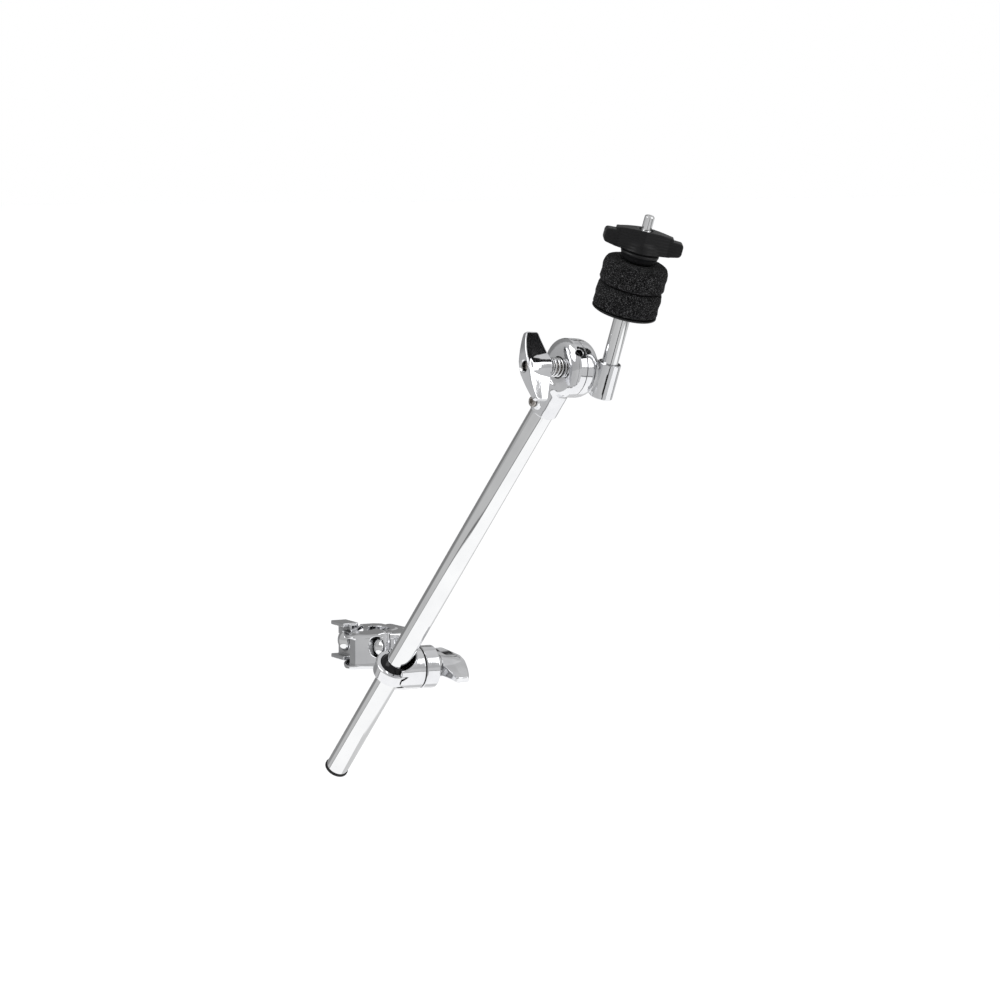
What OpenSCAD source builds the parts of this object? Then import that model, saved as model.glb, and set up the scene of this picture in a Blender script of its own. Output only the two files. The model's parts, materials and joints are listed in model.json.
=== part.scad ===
// Cymbal boom arm with stand clamp. Millimetres, +Z up the stand tube, and the
// origin is the middle of the bore that grips the stand tube.
// The clamp carries a ball-type boom holder on its +X side. A boom tube leans out
// through the ball, and a tilter on its top end carries the felted cymbal seat.

/* [Stand clamp] */
// Diameter of the stand tube that the jaws grip
stand_d = 28.6; // [27:0.1:29]
// Height of the jaws along the stand tube
jaw_h = 32; // [30:0.5:34]
// Thickness of the top and bottom flanges of each jaw
flange_t = 3.5; // [3:0.1:4]
// Downward slope of the moving jaw's flanges, towards their outer edge
flange_slope = 16; // [8:1:18]
// Distance of the clamp bolt from the stand tube's axis
bolt_x = 20.5; // [20:0.1:22]
// Diameter of the clamp bolt's domed head
bolt_head_d = 17; // [15:0.5:17]

/* [Boom holder] */
// Height of the ball's centre above the middle of the clamp
holder_z = -15; // [-17:0.5:-13]
// Lean of the boom away from the vertical
lean = 39.1; // [30:0.1:42]
// Swing of the boom in the ball, towards the wing nut
ball_swing = 8.6; // [0:0.1:11]
// Diameter of the split ball
ball_d = 27; // [26.5:0.5:27.5]
// Diameter of the saddle barrel
barrel_d = 36; // [35:0.5:37]

/* [Boom] */
// Diameter of the boom tube
boom_d = 19.05; // [18.8:0.05:19.2]
// Wall of the boom tube
boom_wall = 1.5; // [1.2:0.1:2]
// Length of tube below the ball's centre
boom_below = 121; // [100:1:140]
// Distance from the ball's centre up to the tilter axis
boom_above = 343; // [320:1:380]

/* [Tilter] */
// Diameter of the two tilter discs
disc_d = 47; // [45:0.5:48]
// Turn of the tilter on the boom tube
tilter_turn = 4.4; // [0:0.1:10]
// Tilt of the cymbal rod back from the boom tube's direction
rod_tilt = 20.5; // [0:0.1:30]

/* [Cymbal seat] */
// Diameter of the rod below the seat
rod_d = 13; // [12.5:0.1:13]
// Height of the seat above the tilter axis
seat_z = 56.3; // [54:0.1:60]
// Diameter of the felts
felt_d = 53; // [48:0.5:56]
// Thickness of one felt
felt_t = 20.3; // [18:0.1:22]
// Span of the top wing nut
top_span = 63; // [58:0.5:66]

/* [Wing nuts] */
// Span of the cast wing nuts
wing_span = 56; // [50:0.5:58]
// Depth of the cast wing nuts along their axis
wing_depth = 22; // [20:0.5:24]
// Thickness of the wings beside the hub
wing_t = 10; // [8:0.5:12]
// Thickness of the wings at their tips
wing_tip_t = 5; // [4:0.5:6]

/* [Hidden] */
$fn = 64;

// Fits
run_gap = 0.05;
seat_gap = 0.1;
over = 1;

// Threads: radii of the M8, M6 and M5 fasteners
m8_r = 4;
m6_r = 3;
m5_r = 2.5;

// Stand clamp
stand_r = stand_d / 2;
jaw_z = jaw_h / 2;
fixed_top = jaw_z - 4.5;
fixed_low = -jaw_z + 1.5;
split_gap = 2.5;
bolt_seat_y = -17.5;
fixed_face_y = 21.5;
washer_t = 2;
bolt_boss_r = 9;
pivot = [33, -4];
nose_r = 5.5;
pivot_head_r = 7;
pivot_head_gap = 1.9;
lug_y = -23.5;
lug_x = -36;
lug_w = 26;
web_x = -1;
wall_t = 6;
nose_h = 25;
rock_gap = 8.5;
web_h = jaw_h - 2 * flange_t + 2;

// Boom holder. The ball's centre stands over the barrel axis, which lies along +Y.
holder_pos = [60, -9.5, holder_z];
ball_r = ball_d / 2;
barrel_r = barrel_d / 2;
saddle_front = -1;
saddle_back = 22;
swivel_t = 0.8;
sleeve_y0 = holder_pos[1] + saddle_back + swivel_t + 2 * run_gap;
sleeve_y1 = 26;
ring_r = 16.6;
ring_w = 12;
holder_washer_t = 6;
holder_nut_y = sleeve_y1 + holder_washer_t + 2 * seat_gap;
holder_nut_turn = 20;
clamp_nut_turn = 12;
tilter_nut_turn = 149;
top_nut_turn = 60;

// Boom
boom_r = boom_d / 2;
bore_r = boom_r + run_gap;
cap_t = 2.6;
cap_r = boom_r + 0.7;
tube_stop = 26;

// Tilter, along its own +Y: base half, friction disc, arm half
disc_r = disc_d / 2;
base_y0 = -10;
seam_y = 2;
friction_t = 0.36;
arm_y0 = seam_y + friction_t + 0.04;
arm_y1 = 17;
nut_y = -21.5;
tilter_washer_t = 1.2;
socket_r = 11.6;
socket_low = -46;
screw_z = -37;
screw_y = -14;
rod_off = [22, 22];
rod_socket_r = 9.2;
rod_socket_low = -15;
rod_socket_top = 14;

// Cymbal seat, along the rod's +Z
rod_r = rod_d / 2;
cup_t = 2.1;
felt_z = seat_z + cup_t + 0.1;
upper_z = felt_z + felt_t + 0.2;
collar_z = upper_z + felt_t + 0.2;
collar_t = 8;
top_z = collar_z + collar_t + 0.2;
top_h = 18;
stud_top = top_z + top_h + 11.5;
stud_tip = 1;
pin_r = m8_r - 0.3;
pin_low = stud_top - stud_tip - 10.2;
sleeve_r = 6.2;
felt_r = felt_d / 2;

chrome = [0.82, 0.83, 0.85];
black = [0.06, 0.06, 0.065];

// ---------- helpers ----------

// Points of an arc about centre c, from angle a0 to a1
function arc(r, a0, a1, n = 12, c = [0, 0]) =
    [for (i = [0 : n]) let (a = a0 + (a1 - a0) * i / n) c + r * [cos(a), sin(a)]];

// A straight cylinder along +Y, from y0 to y1
module rod_y(y0, y1, r) {
    translate([0, y0, 0])
        rotate([-90, 0, 0])
            cylinder(h = y1 - y0, r = r);
}

// A flat washer along +Z
module washer(r_out, r_in, t) {
    difference() {
        cylinder(h = t, r = r_out);
        translate([0, 0, -over]) cylinder(h = t + 2 * over, r = r_in);
    }
}

// A domed head along +Z: a straight rim, then a spherical cap
module dome_head(r, h, rim) {
    cap = h - rim;
    cap_r = (r * r + cap * cap) / (2 * cap);
    edge = acos(r / cap_r);
    rotate_extrude()
        polygon(concat([[0, 0], [r, 0]],
                       arc(cap_r, edge, 90, 10, [0, h - cap_r])));
}

// A helical spring along +Z, with its wire's centre line on radius r
module coil(r, wire_r, length, turns, steps = 20, sides = 8) {
    n = turns * steps;
    pts = [for (i = [0 : n], k = [0 : sides - 1])
        let (a = 360 * i / steps, b = 360 * k / sides,
             z = wire_r + (length - 2 * wire_r) * i / n, q = r + wire_r * cos(b))
        [q * cos(a), q * sin(a), z + wire_r * sin(b)]];
    walls = [for (i = [0 : n - 1], k = [0 : sides - 1])
        let (j = (k + 1) % sides)
        [i * sides + k, i * sides + j, (i + 1) * sides + j, (i + 1) * sides + k]];
    start = [[for (k = [sides - 1 : -1 : 0]) k]];
    finish = [[for (k = [0 : sides - 1]) n * sides + k]];
    polyhedron(pts, concat(walls, start, finish), convexity = 8);
}

// A cast two-armed wing nut on +Z, its bearing face at z = 0 and its wings along X.
// The back is crowned and the wings thin towards their tips.
module cast_wing_nut() {
    half = wing_span / 2;
    hub_r = 9.5;
    tip_low = 4.5;
    tip_high = 15.5;
    bulge = wing_depth - tip_high;
    crown_r = (half * half + bulge * bulge) / (2 * bulge);
    crown_a = asin(half / crown_r);
    difference() {
        union() {
            intersection() {
                rotate([90, 0, 0])
                    linear_extrude(height = 2 * hub_r, center = true)
                        polygon(concat([[-hub_r, 0], [hub_r, 0], [half, tip_low]],
                                       arc(crown_r, 90 - crown_a, 90 + crown_a, 12,
                                           [0, wing_depth - crown_r]),
                                       [[-half, tip_low]]));
                linear_extrude(height = wing_depth)
                    polygon([[half, wing_tip_t / 2], [hub_r - 3, wing_t / 2], [3 - hub_r, wing_t / 2],
                             [-half, wing_tip_t / 2], [-half, -wing_tip_t / 2],
                             [3 - hub_r, -wing_t / 2], [hub_r - 3, -wing_t / 2],
                             [half, -wing_tip_t / 2]]);
            }
            cylinder(h = tip_high + 3, r1 = hub_r, r2 = wing_t / 2 + 0.6);
        }
        translate([0, 0, -over]) cylinder(h = wing_depth + 2 * over, r = m8_r + run_gap);
    }
}

// ---------- frames ----------

module holder_frame() {
    translate(holder_pos) children();
}

module head_frame() {
    holder_frame() rotate([0, lean, 0]) children();
}

module boom_frame() {
    head_frame() rotate([-ball_swing, 0, 0]) children();
}

module tilter_frame() {
    boom_frame() translate([0, 0, boom_above]) rotate([0, 0, tilter_turn]) children();
}

module rod_frame() {
    tilter_frame() rotate([0, -rod_tilt, 0]) translate([rod_off[0], rod_off[1], 0]) children();
}

// ---------- stand clamp ----------

// Plan of the fixed jaw, on the +Y side of the stand tube
module fixed_plan() {
    polygon([[-33, split_gap], [-33, 15], [-28, fixed_face_y], [-12, fixed_face_y],
             [2, 23.5], [16, 23.5], [30, 20.5], [40, 18], [41, 0], [38, -3],
             [28, -3], [24, split_gap]]);
}

module sleeve() {
    translate([holder_pos[0], 0, holder_pos[2]]) {
        rod_y(sleeve_y0, sleeve_y1 - 2, barrel_r);
        translate([0, sleeve_y1 - 2, 0])
            rotate([-90, 0, 0])
                cylinder(h = 2, r1 = barrel_r, r2 = barrel_r - 1.2);
    }
}

module bracket() {
    hull() {
        translate([31, 4, fixed_low + flange_t]) cube([9, 14, fixed_top - fixed_low - 2 * flange_t]);
        translate([holder_pos[0] - 12, sleeve_y0, holder_pos[2] - 10])
            cube([4, sleeve_y1 - sleeve_y0 - 2, 20]);
    }
}

module clamp_body() {
    color(chrome) difference() {
        union() {
            for (z = [fixed_low, fixed_top - flange_t])
                translate([0, 0, z]) linear_extrude(height = flange_t) fixed_plan();
            translate([0, 0, fixed_low])
                linear_extrude(height = fixed_top - fixed_low)
                    intersection() {
                        fixed_plan();
                        union() {
                            difference() {
                                circle(r = stand_r + 5);
                                translate([-50, -50 + split_gap]) square([100, 50]);
                            }
                            translate([24, -3]) square([18, 20]);
                        }
                    }
            translate([-bolt_x, 0, 0]) rod_y(split_gap, fixed_face_y, bolt_boss_r);
            bracket();
            sleeve();
        }
        translate([0, 0, -jaw_z - over]) cylinder(h = jaw_h + 2 * over, r = stand_r);
        translate([-bolt_x, 0, 0]) rod_y(-over, 30, m8_r + run_gap);
        translate([pivot[0], pivot[1], -jaw_z - over])
            cylinder(h = jaw_h + 2 * over, r = nose_r + seat_gap);
        translate([pivot[0], 0, 0]) rod_y(-over, 40, m6_r + run_gap);
        translate([pivot[0], 0, 0]) rod_y(18, 60, 7.2);
        translate([holder_pos[0], 0, holder_pos[2]]) rod_y(0, 40, m8_r + run_gap);
        translate(holder_pos) rod_y(-20, sleeve_y0 - holder_pos[1], barrel_r + 0.6);
    }
}

// Plan of the moving jaw's main part, on the -Y side
module moving_plan() {
    polygon(concat([[-15, -split_gap], [-16, -13]],
                   arc(25.5, 232, 292, 10),
                   [[26, -15.5], [34, -11], [38, -6], [28, -split_gap]]));
}

module moving_jaw() {
    slot_w = 2 * (m8_r + 0.6);
    color(chrome) difference() {
        union() {
            // flat lugs that carry the bolt head, at the free end
            for (z = [-jaw_z, jaw_z - flange_t])
                translate([lug_x, lug_y, z]) cube([lug_w, -lug_y - 9, flange_t]);
            // sloping flanges
            for (z = [-jaw_z + 1, jaw_z - flange_t - 1.5])
                translate([0, 0, z])
                    rotate([flange_slope, 0, 0])
                        linear_extrude(height = flange_t) moving_plan();
            // web with its stepped left edge, and the head's seat wall
            translate([0, 0, -web_h / 2 - 4])
                linear_extrude(height = web_h)
                    intersection() {
                        moving_plan();
                        difference() {
                            translate([web_x, -22]) square([50, 20]);
                            translate([26, -30]) rotate(28) square([30, 16]);
                        }
                    }
            translate([lug_x + 2, bolt_seat_y, -jaw_z + 1]) cube([lug_w, wall_t, jaw_h - 2]);
            // round nose that rocks in the fixed jaw
            translate([pivot[0], pivot[1], -nose_h / 2]) cylinder(h = nose_h, r = nose_r);
        }
        translate([0, 0, -2 * jaw_h]) cylinder(h = 4 * jaw_h, r = stand_r);
        // open slot for the clamp bolt
        translate([-60, -30, -slot_w / 2]) cube([60 - bolt_x, 30, slot_w]);
        translate([-bolt_x, 0, 0]) rod_y(-30, 0, slot_w / 2);
        // room for the pivot bolt and its head
        translate([pivot[0], pivot[1], 0]) rod_y(-12, 12, m6_r + 0.8);
        difference() {
            translate([pivot[0], 0, 0]) rod_y(-40, pivot[1] - nose_r + 1, pivot_head_r + pivot_head_gap);
            translate([pivot[0], pivot[1], -jaw_h]) cylinder(h = 2 * jaw_h, r = nose_r);
        }
        // room for the clamp bolt's head between the flanges
        translate([-bolt_x, 0, 0]) rod_y(-40, bolt_seat_y, bolt_head_d / 2 + 0.8);
        // clearance to the fixed jaw around the nose
        translate([pivot[0] - rock_gap, pivot[1] + 1, -jaw_h])
            difference() {
                cube([30, 20, 2 * jaw_h]);
                translate([rock_gap, -1, 0]) cylinder(h = 2 * jaw_h, r = nose_r);
            }
        translate([-60, -split_gap, -2 * jaw_h])
            cube([60 + pivot[0] - rock_gap + 0.5, 30, 4 * jaw_h]);
    }
}

module clamp_bolt() {
    color(chrome) translate([-bolt_x, 0, 0]) {
        rod_y(bolt_seat_y - seat_gap - 0.5, fixed_face_y + washer_t + wing_depth - 1, m8_r);
        translate([0, bolt_seat_y - seat_gap, 0])
            rotate([90, 0, 0])
                dome_head(bolt_head_d / 2, 5.5, 1.6);
    }
}

module clamp_washer() {
    color(chrome) translate([-bolt_x, fixed_face_y + 0.02, 0])
        rotate([-90, 0, 0])
            washer(bolt_boss_r, m8_r + run_gap, washer_t);
}

module clamp_wing_nut() {
    color(chrome) translate([-bolt_x, fixed_face_y + washer_t + seat_gap, 0])
        rotate([-90, 0, 0])
            rotate(clamp_nut_turn)
                cast_wing_nut();
}

module pivot_bolt() {
    head_y = pivot[1] - nose_r - seat_gap;
    color(chrome) translate([pivot[0], 0, 0]) {
        rod_y(head_y - 0.5, 25.5, m6_r);
        translate([0, head_y, 0])
            rotate([90, 0, 0])
                dome_head(pivot_head_r, 4.6, 1.2);
    }
}

module pivot_lock_nut() {
    color(chrome) translate([pivot[0], 18.05, 0])
        rotate([-90, 0, 0])
            difference() {
                union() {
                    cylinder(h = 4.8, r = 5.77, $fn = 6);
                    cylinder(h = 6.4, r = 4.6);
                }
                translate([0, 0, -over]) cylinder(h = 10, r = m6_r + 0.02);
            }
}

// ---------- boom holder ----------

module boom_saddle() {
    notch_in = ball_r - 2;
    notch_out = ball_r + 1.4;
    half_w = barrel_r + 0.2;
    slot_w = ring_w + 0.6;
    color(chrome) head_frame() difference() {
        rod_y(saddle_front, saddle_back, barrel_r);
        // slot for the eye ring
        translate([0, 0, -slot_w / 2]) cylinder(h = slot_w, r = ring_r + 0.7);
        translate([-30, -30, -slot_w / 2]) cube([60, 30, slot_w]);
        // flared notch that the boom swings in, with a round seat for the ball
        for (s = [0, 180])
            rotate([s, 0, 0])
                translate([0, 0, slot_w / 2 - 0.1])
                    cylinder(h = half_w - slot_w / 2 + 0.2, r1 = notch_in, r2 = notch_out);
        sphere(r = ball_r + run_gap);
        rod_y(0, saddle_back + over, m8_r + run_gap);
    }
}

module swivel_washer() {
    color(black) holder_frame()
        translate([0, saddle_back + run_gap, 0])
            rotate([-90, 0, 0])
                washer(barrel_r - 0.7, m8_r + run_gap, swivel_t);
}

module eye_bolt() {
    thread_end = holder_nut_y + wing_depth - 2 - holder_pos[1];
    color(chrome) head_frame() difference() {
        union() {
            translate([0, 0, -ring_w / 2]) cylinder(h = ring_w, r = ring_r);
            rod_y(ring_r - 1.5, thread_end, m8_r);
        }
        sphere(r = ball_r + run_gap);
        translate([0, 1, 0]) sphere(r = ball_r + run_gap);
    }
}

module split_ball() {
    slit = 2;
    key_r = 2;
    key_deep = 1.6;
    color(black) boom_frame() difference() {
        sphere(r = ball_r);
        translate([0, 0, -ball_r - over]) cylinder(h = ball_d + 2 * over, r = bore_r);
        translate([-ball_r - over, -slit / 2, -ball_r - over])
            cube([ball_r + over, slit, ball_d + 2 * over]);
        // blind key hole on the tilt axis, hidden by the eye ring
        rotate([0, 90, 0])
            translate([0, 0, ball_r - key_deep])
                cylinder(h = 5, r = key_r);
    }
}

module holder_washer() {
    color(chrome) translate([holder_pos[0], sleeve_y1 + run_gap, holder_pos[2]])
        rotate([-90, 0, 0])
            difference() {
                cylinder(h = holder_washer_t, r1 = 11, r2 = 9.2);
                translate([0, 0, -over]) cylinder(h = 10, r = m8_r + run_gap);
            }
}

module holder_wing_nut() {
    color(chrome) translate([holder_pos[0], holder_nut_y, holder_pos[2]])
        rotate([-90, 0, 0])
            rotate(holder_nut_turn)
                cast_wing_nut();
}

// ---------- boom ----------

module boom_tube() {
    color(chrome) boom_frame()
        translate([0, 0, -boom_below])
            difference() {
                cylinder(h = boom_below + boom_above - tube_stop, r = boom_r);
                translate([0, 0, -over])
                    cylinder(h = boom_below + boom_above, r = boom_r - boom_wall);
            }
}

module end_cap() {
    plug = 12;
    color(black) boom_frame()
        translate([0, 0, -boom_below - cap_t])
            rotate_extrude()
                polygon(concat([[0, 0]],
                               arc(1.2, -90, 0, 5, [cap_r - 1.2, 1.2]),
                               [[cap_r, cap_t - 0.02], [boom_r - boom_wall - 0.02, cap_t - 0.02],
                                [boom_r - boom_wall - 0.02, cap_t + plug],
                                [0, cap_t + plug]]));
}

// ---------- tilter ----------

// A domed half disc about Y: flat at y0, with its full radius up to y1, and domed to y2
module half_disc(y0, y1, y2, crown_r) {
    bulge = 0.9;
    rotate([-90, 0, 0])
        rotate_extrude()
            polygon(concat([[0, y0], [disc_r, y0], [disc_r, y1]],
                           [for (i = [1 : 10]) let (a = 90 * i / 10)
                               [crown_r + (disc_r - crown_r) * pow(cos(a), bulge),
                                y1 + (y2 - y1) * pow(sin(a), bulge)]],
                           [[0, y2]]));
}

module tilter_base() {
    dimple_a = 17;
    dimple_r = 3;
    dimple_deep = 5;
    spring_seat_r = 8.6;
    boss_r = 5.2;
    color(chrome) tilter_frame() difference() {
        union() {
            mirror([0, 1, 0]) half_disc(-seam_y, 2.5, -base_y0, 12);
            translate([0, 0, socket_low])
                cylinder(h = -socket_low - 14, r = socket_r);
            translate([0, 0, screw_z]) rod_y(screw_y, -4, boss_r);
        }
        translate([0, 0, socket_low - over])
            cylinder(h = -socket_low - tube_stop + over + 0.2, r = bore_r);
        // room for the arm half to turn
        rod_y(seam_y, 40, disc_r + 0.6);
        rod_y(base_y0 - over, 10, m8_r + run_gap);
        // spring seat
        rod_y(base_y0 - over, base_y0 + 1.5, spring_seat_r);
        translate([0, 0, screw_z]) rod_y(screw_y - over, 0, m5_r + run_gap);
        // blind dimple in the rim
        rotate([0, dimple_a, 0])
            translate([0, -3.6, disc_r - dimple_deep])
                cylinder(h = 10, r = dimple_r);
    }
}

module set_screw() {
    head_r = 4.1;
    color(chrome) tilter_frame()
        translate([0, screw_y - 2.6, screw_z])
            difference() {
                union() {
                    rod_y(0, 2.55, head_r);
                    rod_y(2, -screw_y + 2.6 - boom_r - 0.1, m5_r);
                }
                translate([0, -over, 0])
                    rotate([-90, 0, 0])
                        cylinder(h = over + 2.2, r = 2.3, $fn = 6);
            }
}

module friction_disc() {
    color(black) tilter_frame()
        translate([0, seam_y + 0.02, 0])
            rotate([-90, 0, 0])
                washer(disc_r - 1.2, m8_r + run_gap, friction_t);
}

module tilter_arm() {
    bolt_room = 7;
    color(chrome) difference() {
        union() {
            tilter_frame() half_disc(arm_y0, 6, arm_y1, 13);
            hull() {
                tilter_frame() rotate([0, -rod_tilt, 0])
                    translate([2, 0, -2]) rod_y(8, arm_y1 + 1, 10.5);
                rod_frame()
                    translate([0, 0, rod_socket_low + 2])
                        cylinder(h = 22, r = rod_socket_r - 1.5, $fn = 32);
            }
            rod_frame()
                translate([0, 0, rod_socket_low])
                    cylinder(h = rod_socket_top - rod_socket_low, r = rod_socket_r);
        }
        tilter_frame() rod_y(-10, 40, m8_r + run_gap);
        tilter_frame() rod_y(9, 60, bolt_room);
        rod_frame()
            translate([0, 0, rod_socket_low + 2])
                cylinder(h = 60, r = rod_r + 0.02);
    }
}

module tilter_bolt() {
    color(chrome) tilter_frame() difference() {
        union() {
            rod_y(nut_y - wing_depth + 3, 9.5, m8_r);
            translate([0, 9.05, 0])
                rotate([-90, 0, 0])
                    dome_head(6.5, 6, 3.6);
        }
        translate([0, 12, 0])
            rotate([-90, 0, 0])
                cylinder(h = 10, r = 2.9, $fn = 6);
    }
}

module tilter_spring() {
    spring_y0 = base_y0 + 1.45;
    spring_len = spring_y0 - nut_y - tilter_washer_t - 0.1;
    color(chrome) tilter_frame()
        translate([0, spring_y0, 0])
            rotate([90, 0, 0])
                coil(6.9, 0.9, spring_len, 3.5);
}

module tilter_washer() {
    color(black) tilter_frame()
        translate([0, nut_y + tilter_washer_t, 0])
            rotate([90, 0, 0])
                washer(8.6, m8_r + run_gap, tilter_washer_t - 0.05);
}

module tilter_wing_nut() {
    color(chrome) tilter_frame()
        translate([0, nut_y - 0.02, 0])
            rotate([90, 0, 0])
                rotate(tilter_nut_turn)
                    cast_wing_nut();
}

// ---------- cymbal seat ----------

module seat_rod() {
    color(chrome) rod_frame()
        rotate_extrude()
            polygon([[0, rod_socket_low + 2.05], [rod_r, rod_socket_low + 2.05],
                     [rod_r, seat_z - 0.6], [rod_r - 0.6, seat_z], [m8_r, seat_z],
                     [m8_r, pin_low], [pin_r, pin_low], [pin_r, stud_top - stud_tip],
                     [pin_r - stud_tip, stud_top], [0, stud_top]]);
}

module cup_washer() {
    lip = 1;
    color(black) rod_frame()
        translate([0, 0, seat_z + 0.05])
            rotate_extrude()
                polygon([[m8_r + run_gap, 0], [felt_r - 2, 0], [felt_r - 0.6, lip],
                         [felt_r - 0.6, cup_t], [m8_r + run_gap, cup_t]]);
}

module stud_sleeve() {
    color(black) rod_frame()
        translate([0, 0, felt_z])
            washer(sleeve_r, m8_r + run_gap, 2 * felt_t - 1.5);
}

// One felt: a thick ring with rounded edges
module felt() {
    edge = 3.2;
    bore = sleeve_r + 0.3;
    color(black)
        rotate_extrude()
            polygon(concat([[bore, 0]],
                           arc(edge, -90, 0, 6, [felt_r - edge, edge]),
                           arc(edge, 0, 90, 6, [felt_r - edge, felt_t - edge]),
                           [[bore, felt_t]]));
}

module lower_felt() {
    rod_frame() translate([0, 0, felt_z]) felt();
}

module upper_felt() {
    rod_frame() translate([0, 0, upper_z]) felt();
}

module top_collar() {
    low_r = 14;
    high_r = 15.5;
    color(black) rod_frame()
        translate([0, 0, collar_z])
            rotate_extrude()
                polygon([[m8_r + run_gap, 0], [low_r - 1, 0], [low_r, 1],
                         [high_r, collar_t - 0.8], [high_r - 0.8, collar_t],
                         [m8_r + run_gap, collar_t]]);
}

module top_wing_nut() {
    half = top_span / 2;
    tip_low = 4;
    tip_high = 14;
    arch = 2;
    arch_half = half - 9;
    arch_r = (arch_half * arch_half + arch * arch) / (2 * arch);
    arch_a = asin(arch_half / arch_r);
    thick = 11;
    color(black) rod_frame()
        translate([0, 0, top_z])
            rotate(top_nut_turn)
                difference() {
                    union() {
                        rotate([90, 0, 0])
                            linear_extrude(height = thick, center = true)
                                polygon(concat([[-15, 0], [15, 0], [half - 3, tip_low],
                                                [half, tip_low + 4], [half, tip_high - 2],
                                                [half - 2, tip_high]],
                                               arc(arch_r, 90 - arch_a, 90 + arch_a, 12,
                                                   [0, top_h - arch_r]),
                                               [[2 - half, tip_high], [-half, tip_high - 2],
                                                [-half, tip_low + 4], [3 - half, tip_low]]));
                        cylinder(h = 7, r = 14.6);
                    }
                    translate([0, 0, -over]) cylinder(h = top_h + 2 * over, r = m8_r + run_gap);
                    translate([0, 0, -over]) cylinder(h = 6.5 + over, r = 7.52, $fn = 6);
                    translate([0, 0, top_h - 3]) cylinder(h = 6, r1 = 4, r2 = 8);
                }
}

module wing_nut_insert() {
    color(chrome) rod_frame()
        translate([0, 0, top_z + 0.05])
            rotate(top_nut_turn)
                difference() {
                    cylinder(h = 6.4, r = 7.5, $fn = 6);
                    translate([0, 0, -over]) cylinder(h = 10, r = m8_r + run_gap);
                }
}

clamp_body();
moving_jaw();
clamp_bolt();
clamp_washer();
clamp_wing_nut();
pivot_bolt();
pivot_lock_nut();
boom_saddle();
swivel_washer();
eye_bolt();
split_ball();
holder_washer();
holder_wing_nut();
boom_tube();
end_cap();
tilter_base();
set_screw();
friction_disc();
tilter_arm();
tilter_bolt();
tilter_spring();
tilter_washer();
tilter_wing_nut();
seat_rod();
cup_washer();
stud_sleeve();
lower_felt();
upper_felt();
top_collar();
top_wing_nut();
wing_nut_insert();
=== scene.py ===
"""Looks of the cymbal boom stand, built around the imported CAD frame.

Every shown piece is made here in its CAD node's own local frame, in millimetres, and placed by a matrix
that comes from the frame's joints. Castings are solids given by a signed distance and meshed on a grid,
turned parts are profiles swept about an axis, threads and springs are swept rows, and the felts are swollen
by a cloth simulation.
"""
import json
import math

import bmesh
import bpy
import numpy as np
import openvdb
from mathutils import Matrix, Vector


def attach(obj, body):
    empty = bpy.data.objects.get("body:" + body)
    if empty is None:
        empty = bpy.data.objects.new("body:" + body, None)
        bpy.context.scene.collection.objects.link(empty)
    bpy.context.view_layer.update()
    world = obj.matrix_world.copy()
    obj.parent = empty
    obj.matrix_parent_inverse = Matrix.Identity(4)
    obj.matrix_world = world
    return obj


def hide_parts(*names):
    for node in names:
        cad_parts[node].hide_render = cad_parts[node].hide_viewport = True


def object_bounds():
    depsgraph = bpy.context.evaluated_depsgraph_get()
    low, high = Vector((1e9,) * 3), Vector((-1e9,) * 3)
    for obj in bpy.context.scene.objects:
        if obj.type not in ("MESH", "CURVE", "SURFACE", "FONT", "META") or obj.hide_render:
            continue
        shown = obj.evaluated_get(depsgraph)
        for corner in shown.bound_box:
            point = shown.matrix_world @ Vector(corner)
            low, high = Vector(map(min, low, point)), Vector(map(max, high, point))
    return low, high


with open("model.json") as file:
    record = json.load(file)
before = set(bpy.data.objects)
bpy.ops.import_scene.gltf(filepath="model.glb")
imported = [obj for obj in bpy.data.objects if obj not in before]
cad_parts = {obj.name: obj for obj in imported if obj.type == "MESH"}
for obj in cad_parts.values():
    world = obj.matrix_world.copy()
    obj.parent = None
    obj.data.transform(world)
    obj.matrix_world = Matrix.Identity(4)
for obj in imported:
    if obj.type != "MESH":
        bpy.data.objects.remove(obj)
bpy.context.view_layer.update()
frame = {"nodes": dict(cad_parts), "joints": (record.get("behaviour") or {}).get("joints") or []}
MM = 0.001
RNG_SEED = 7
JOINTS = {j["name"]: j for j in frame["joints"]}

# ---- frames


def joint_axis(name):
    return Vector(JOINTS[name]["axis"]).normalized()


def joint_pos(name):
    return Vector(JOINTS[name]["pos_m"])


def placed(origin, x, y, z):
    """Matrix that takes local millimetres along x, y and z to metres in the shared frame."""
    m = Matrix((x, y, z)).transposed() * MM
    m = m.to_4x4()
    m.translation = origin
    return m


X, Y, Z = Vector((1, 0, 0)), Vector((0, 1, 0)), Vector((0, 0, 1))
swing_axis = joint_axis("ball_tilt")
boom_axis = joint_axis("boom_slide")
tilt_axis = joint_axis("tilter_tilt")
rod_axis = joint_axis("felt_lift")
ball_centre = joint_pos("head_turn")
tilt_centre = joint_pos("tilter_tilt")
on_rod = joint_pos("top_wing_spin")
rod_origin = on_rod - rod_axis * (on_rod - tilt_centre).dot(rod_axis)

CLAMP = placed(Vector((0, 0, 0)), X, Y, Z)
HOLDER = placed(ball_centre, X, Y, Z)
HEAD = placed(ball_centre, swing_axis, Y, swing_axis.cross(Y))
BOOM = placed(ball_centre, swing_axis, boom_axis.cross(swing_axis), boom_axis)
TILTER = placed(tilt_centre, tilt_axis.cross(boom_axis), tilt_axis, boom_axis)
ROD = placed(rod_origin, tilt_axis.cross(rod_axis), tilt_axis, rod_axis)


def local(node, m):
    """A CAD node's vertices in the local frame m, in millimetres."""
    mesh = frame["nodes"][node].data
    co = np.empty(len(mesh.vertices) * 3)
    mesh.vertices.foreach_get("co", co)
    inv = np.array(m.inverted())
    return co.reshape(-1, 3) @ inv[:3, :3].T + inv[:3, 3]


def span(node, m):
    co = local(node, m)
    return co.min(0), co.max(0)


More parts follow.
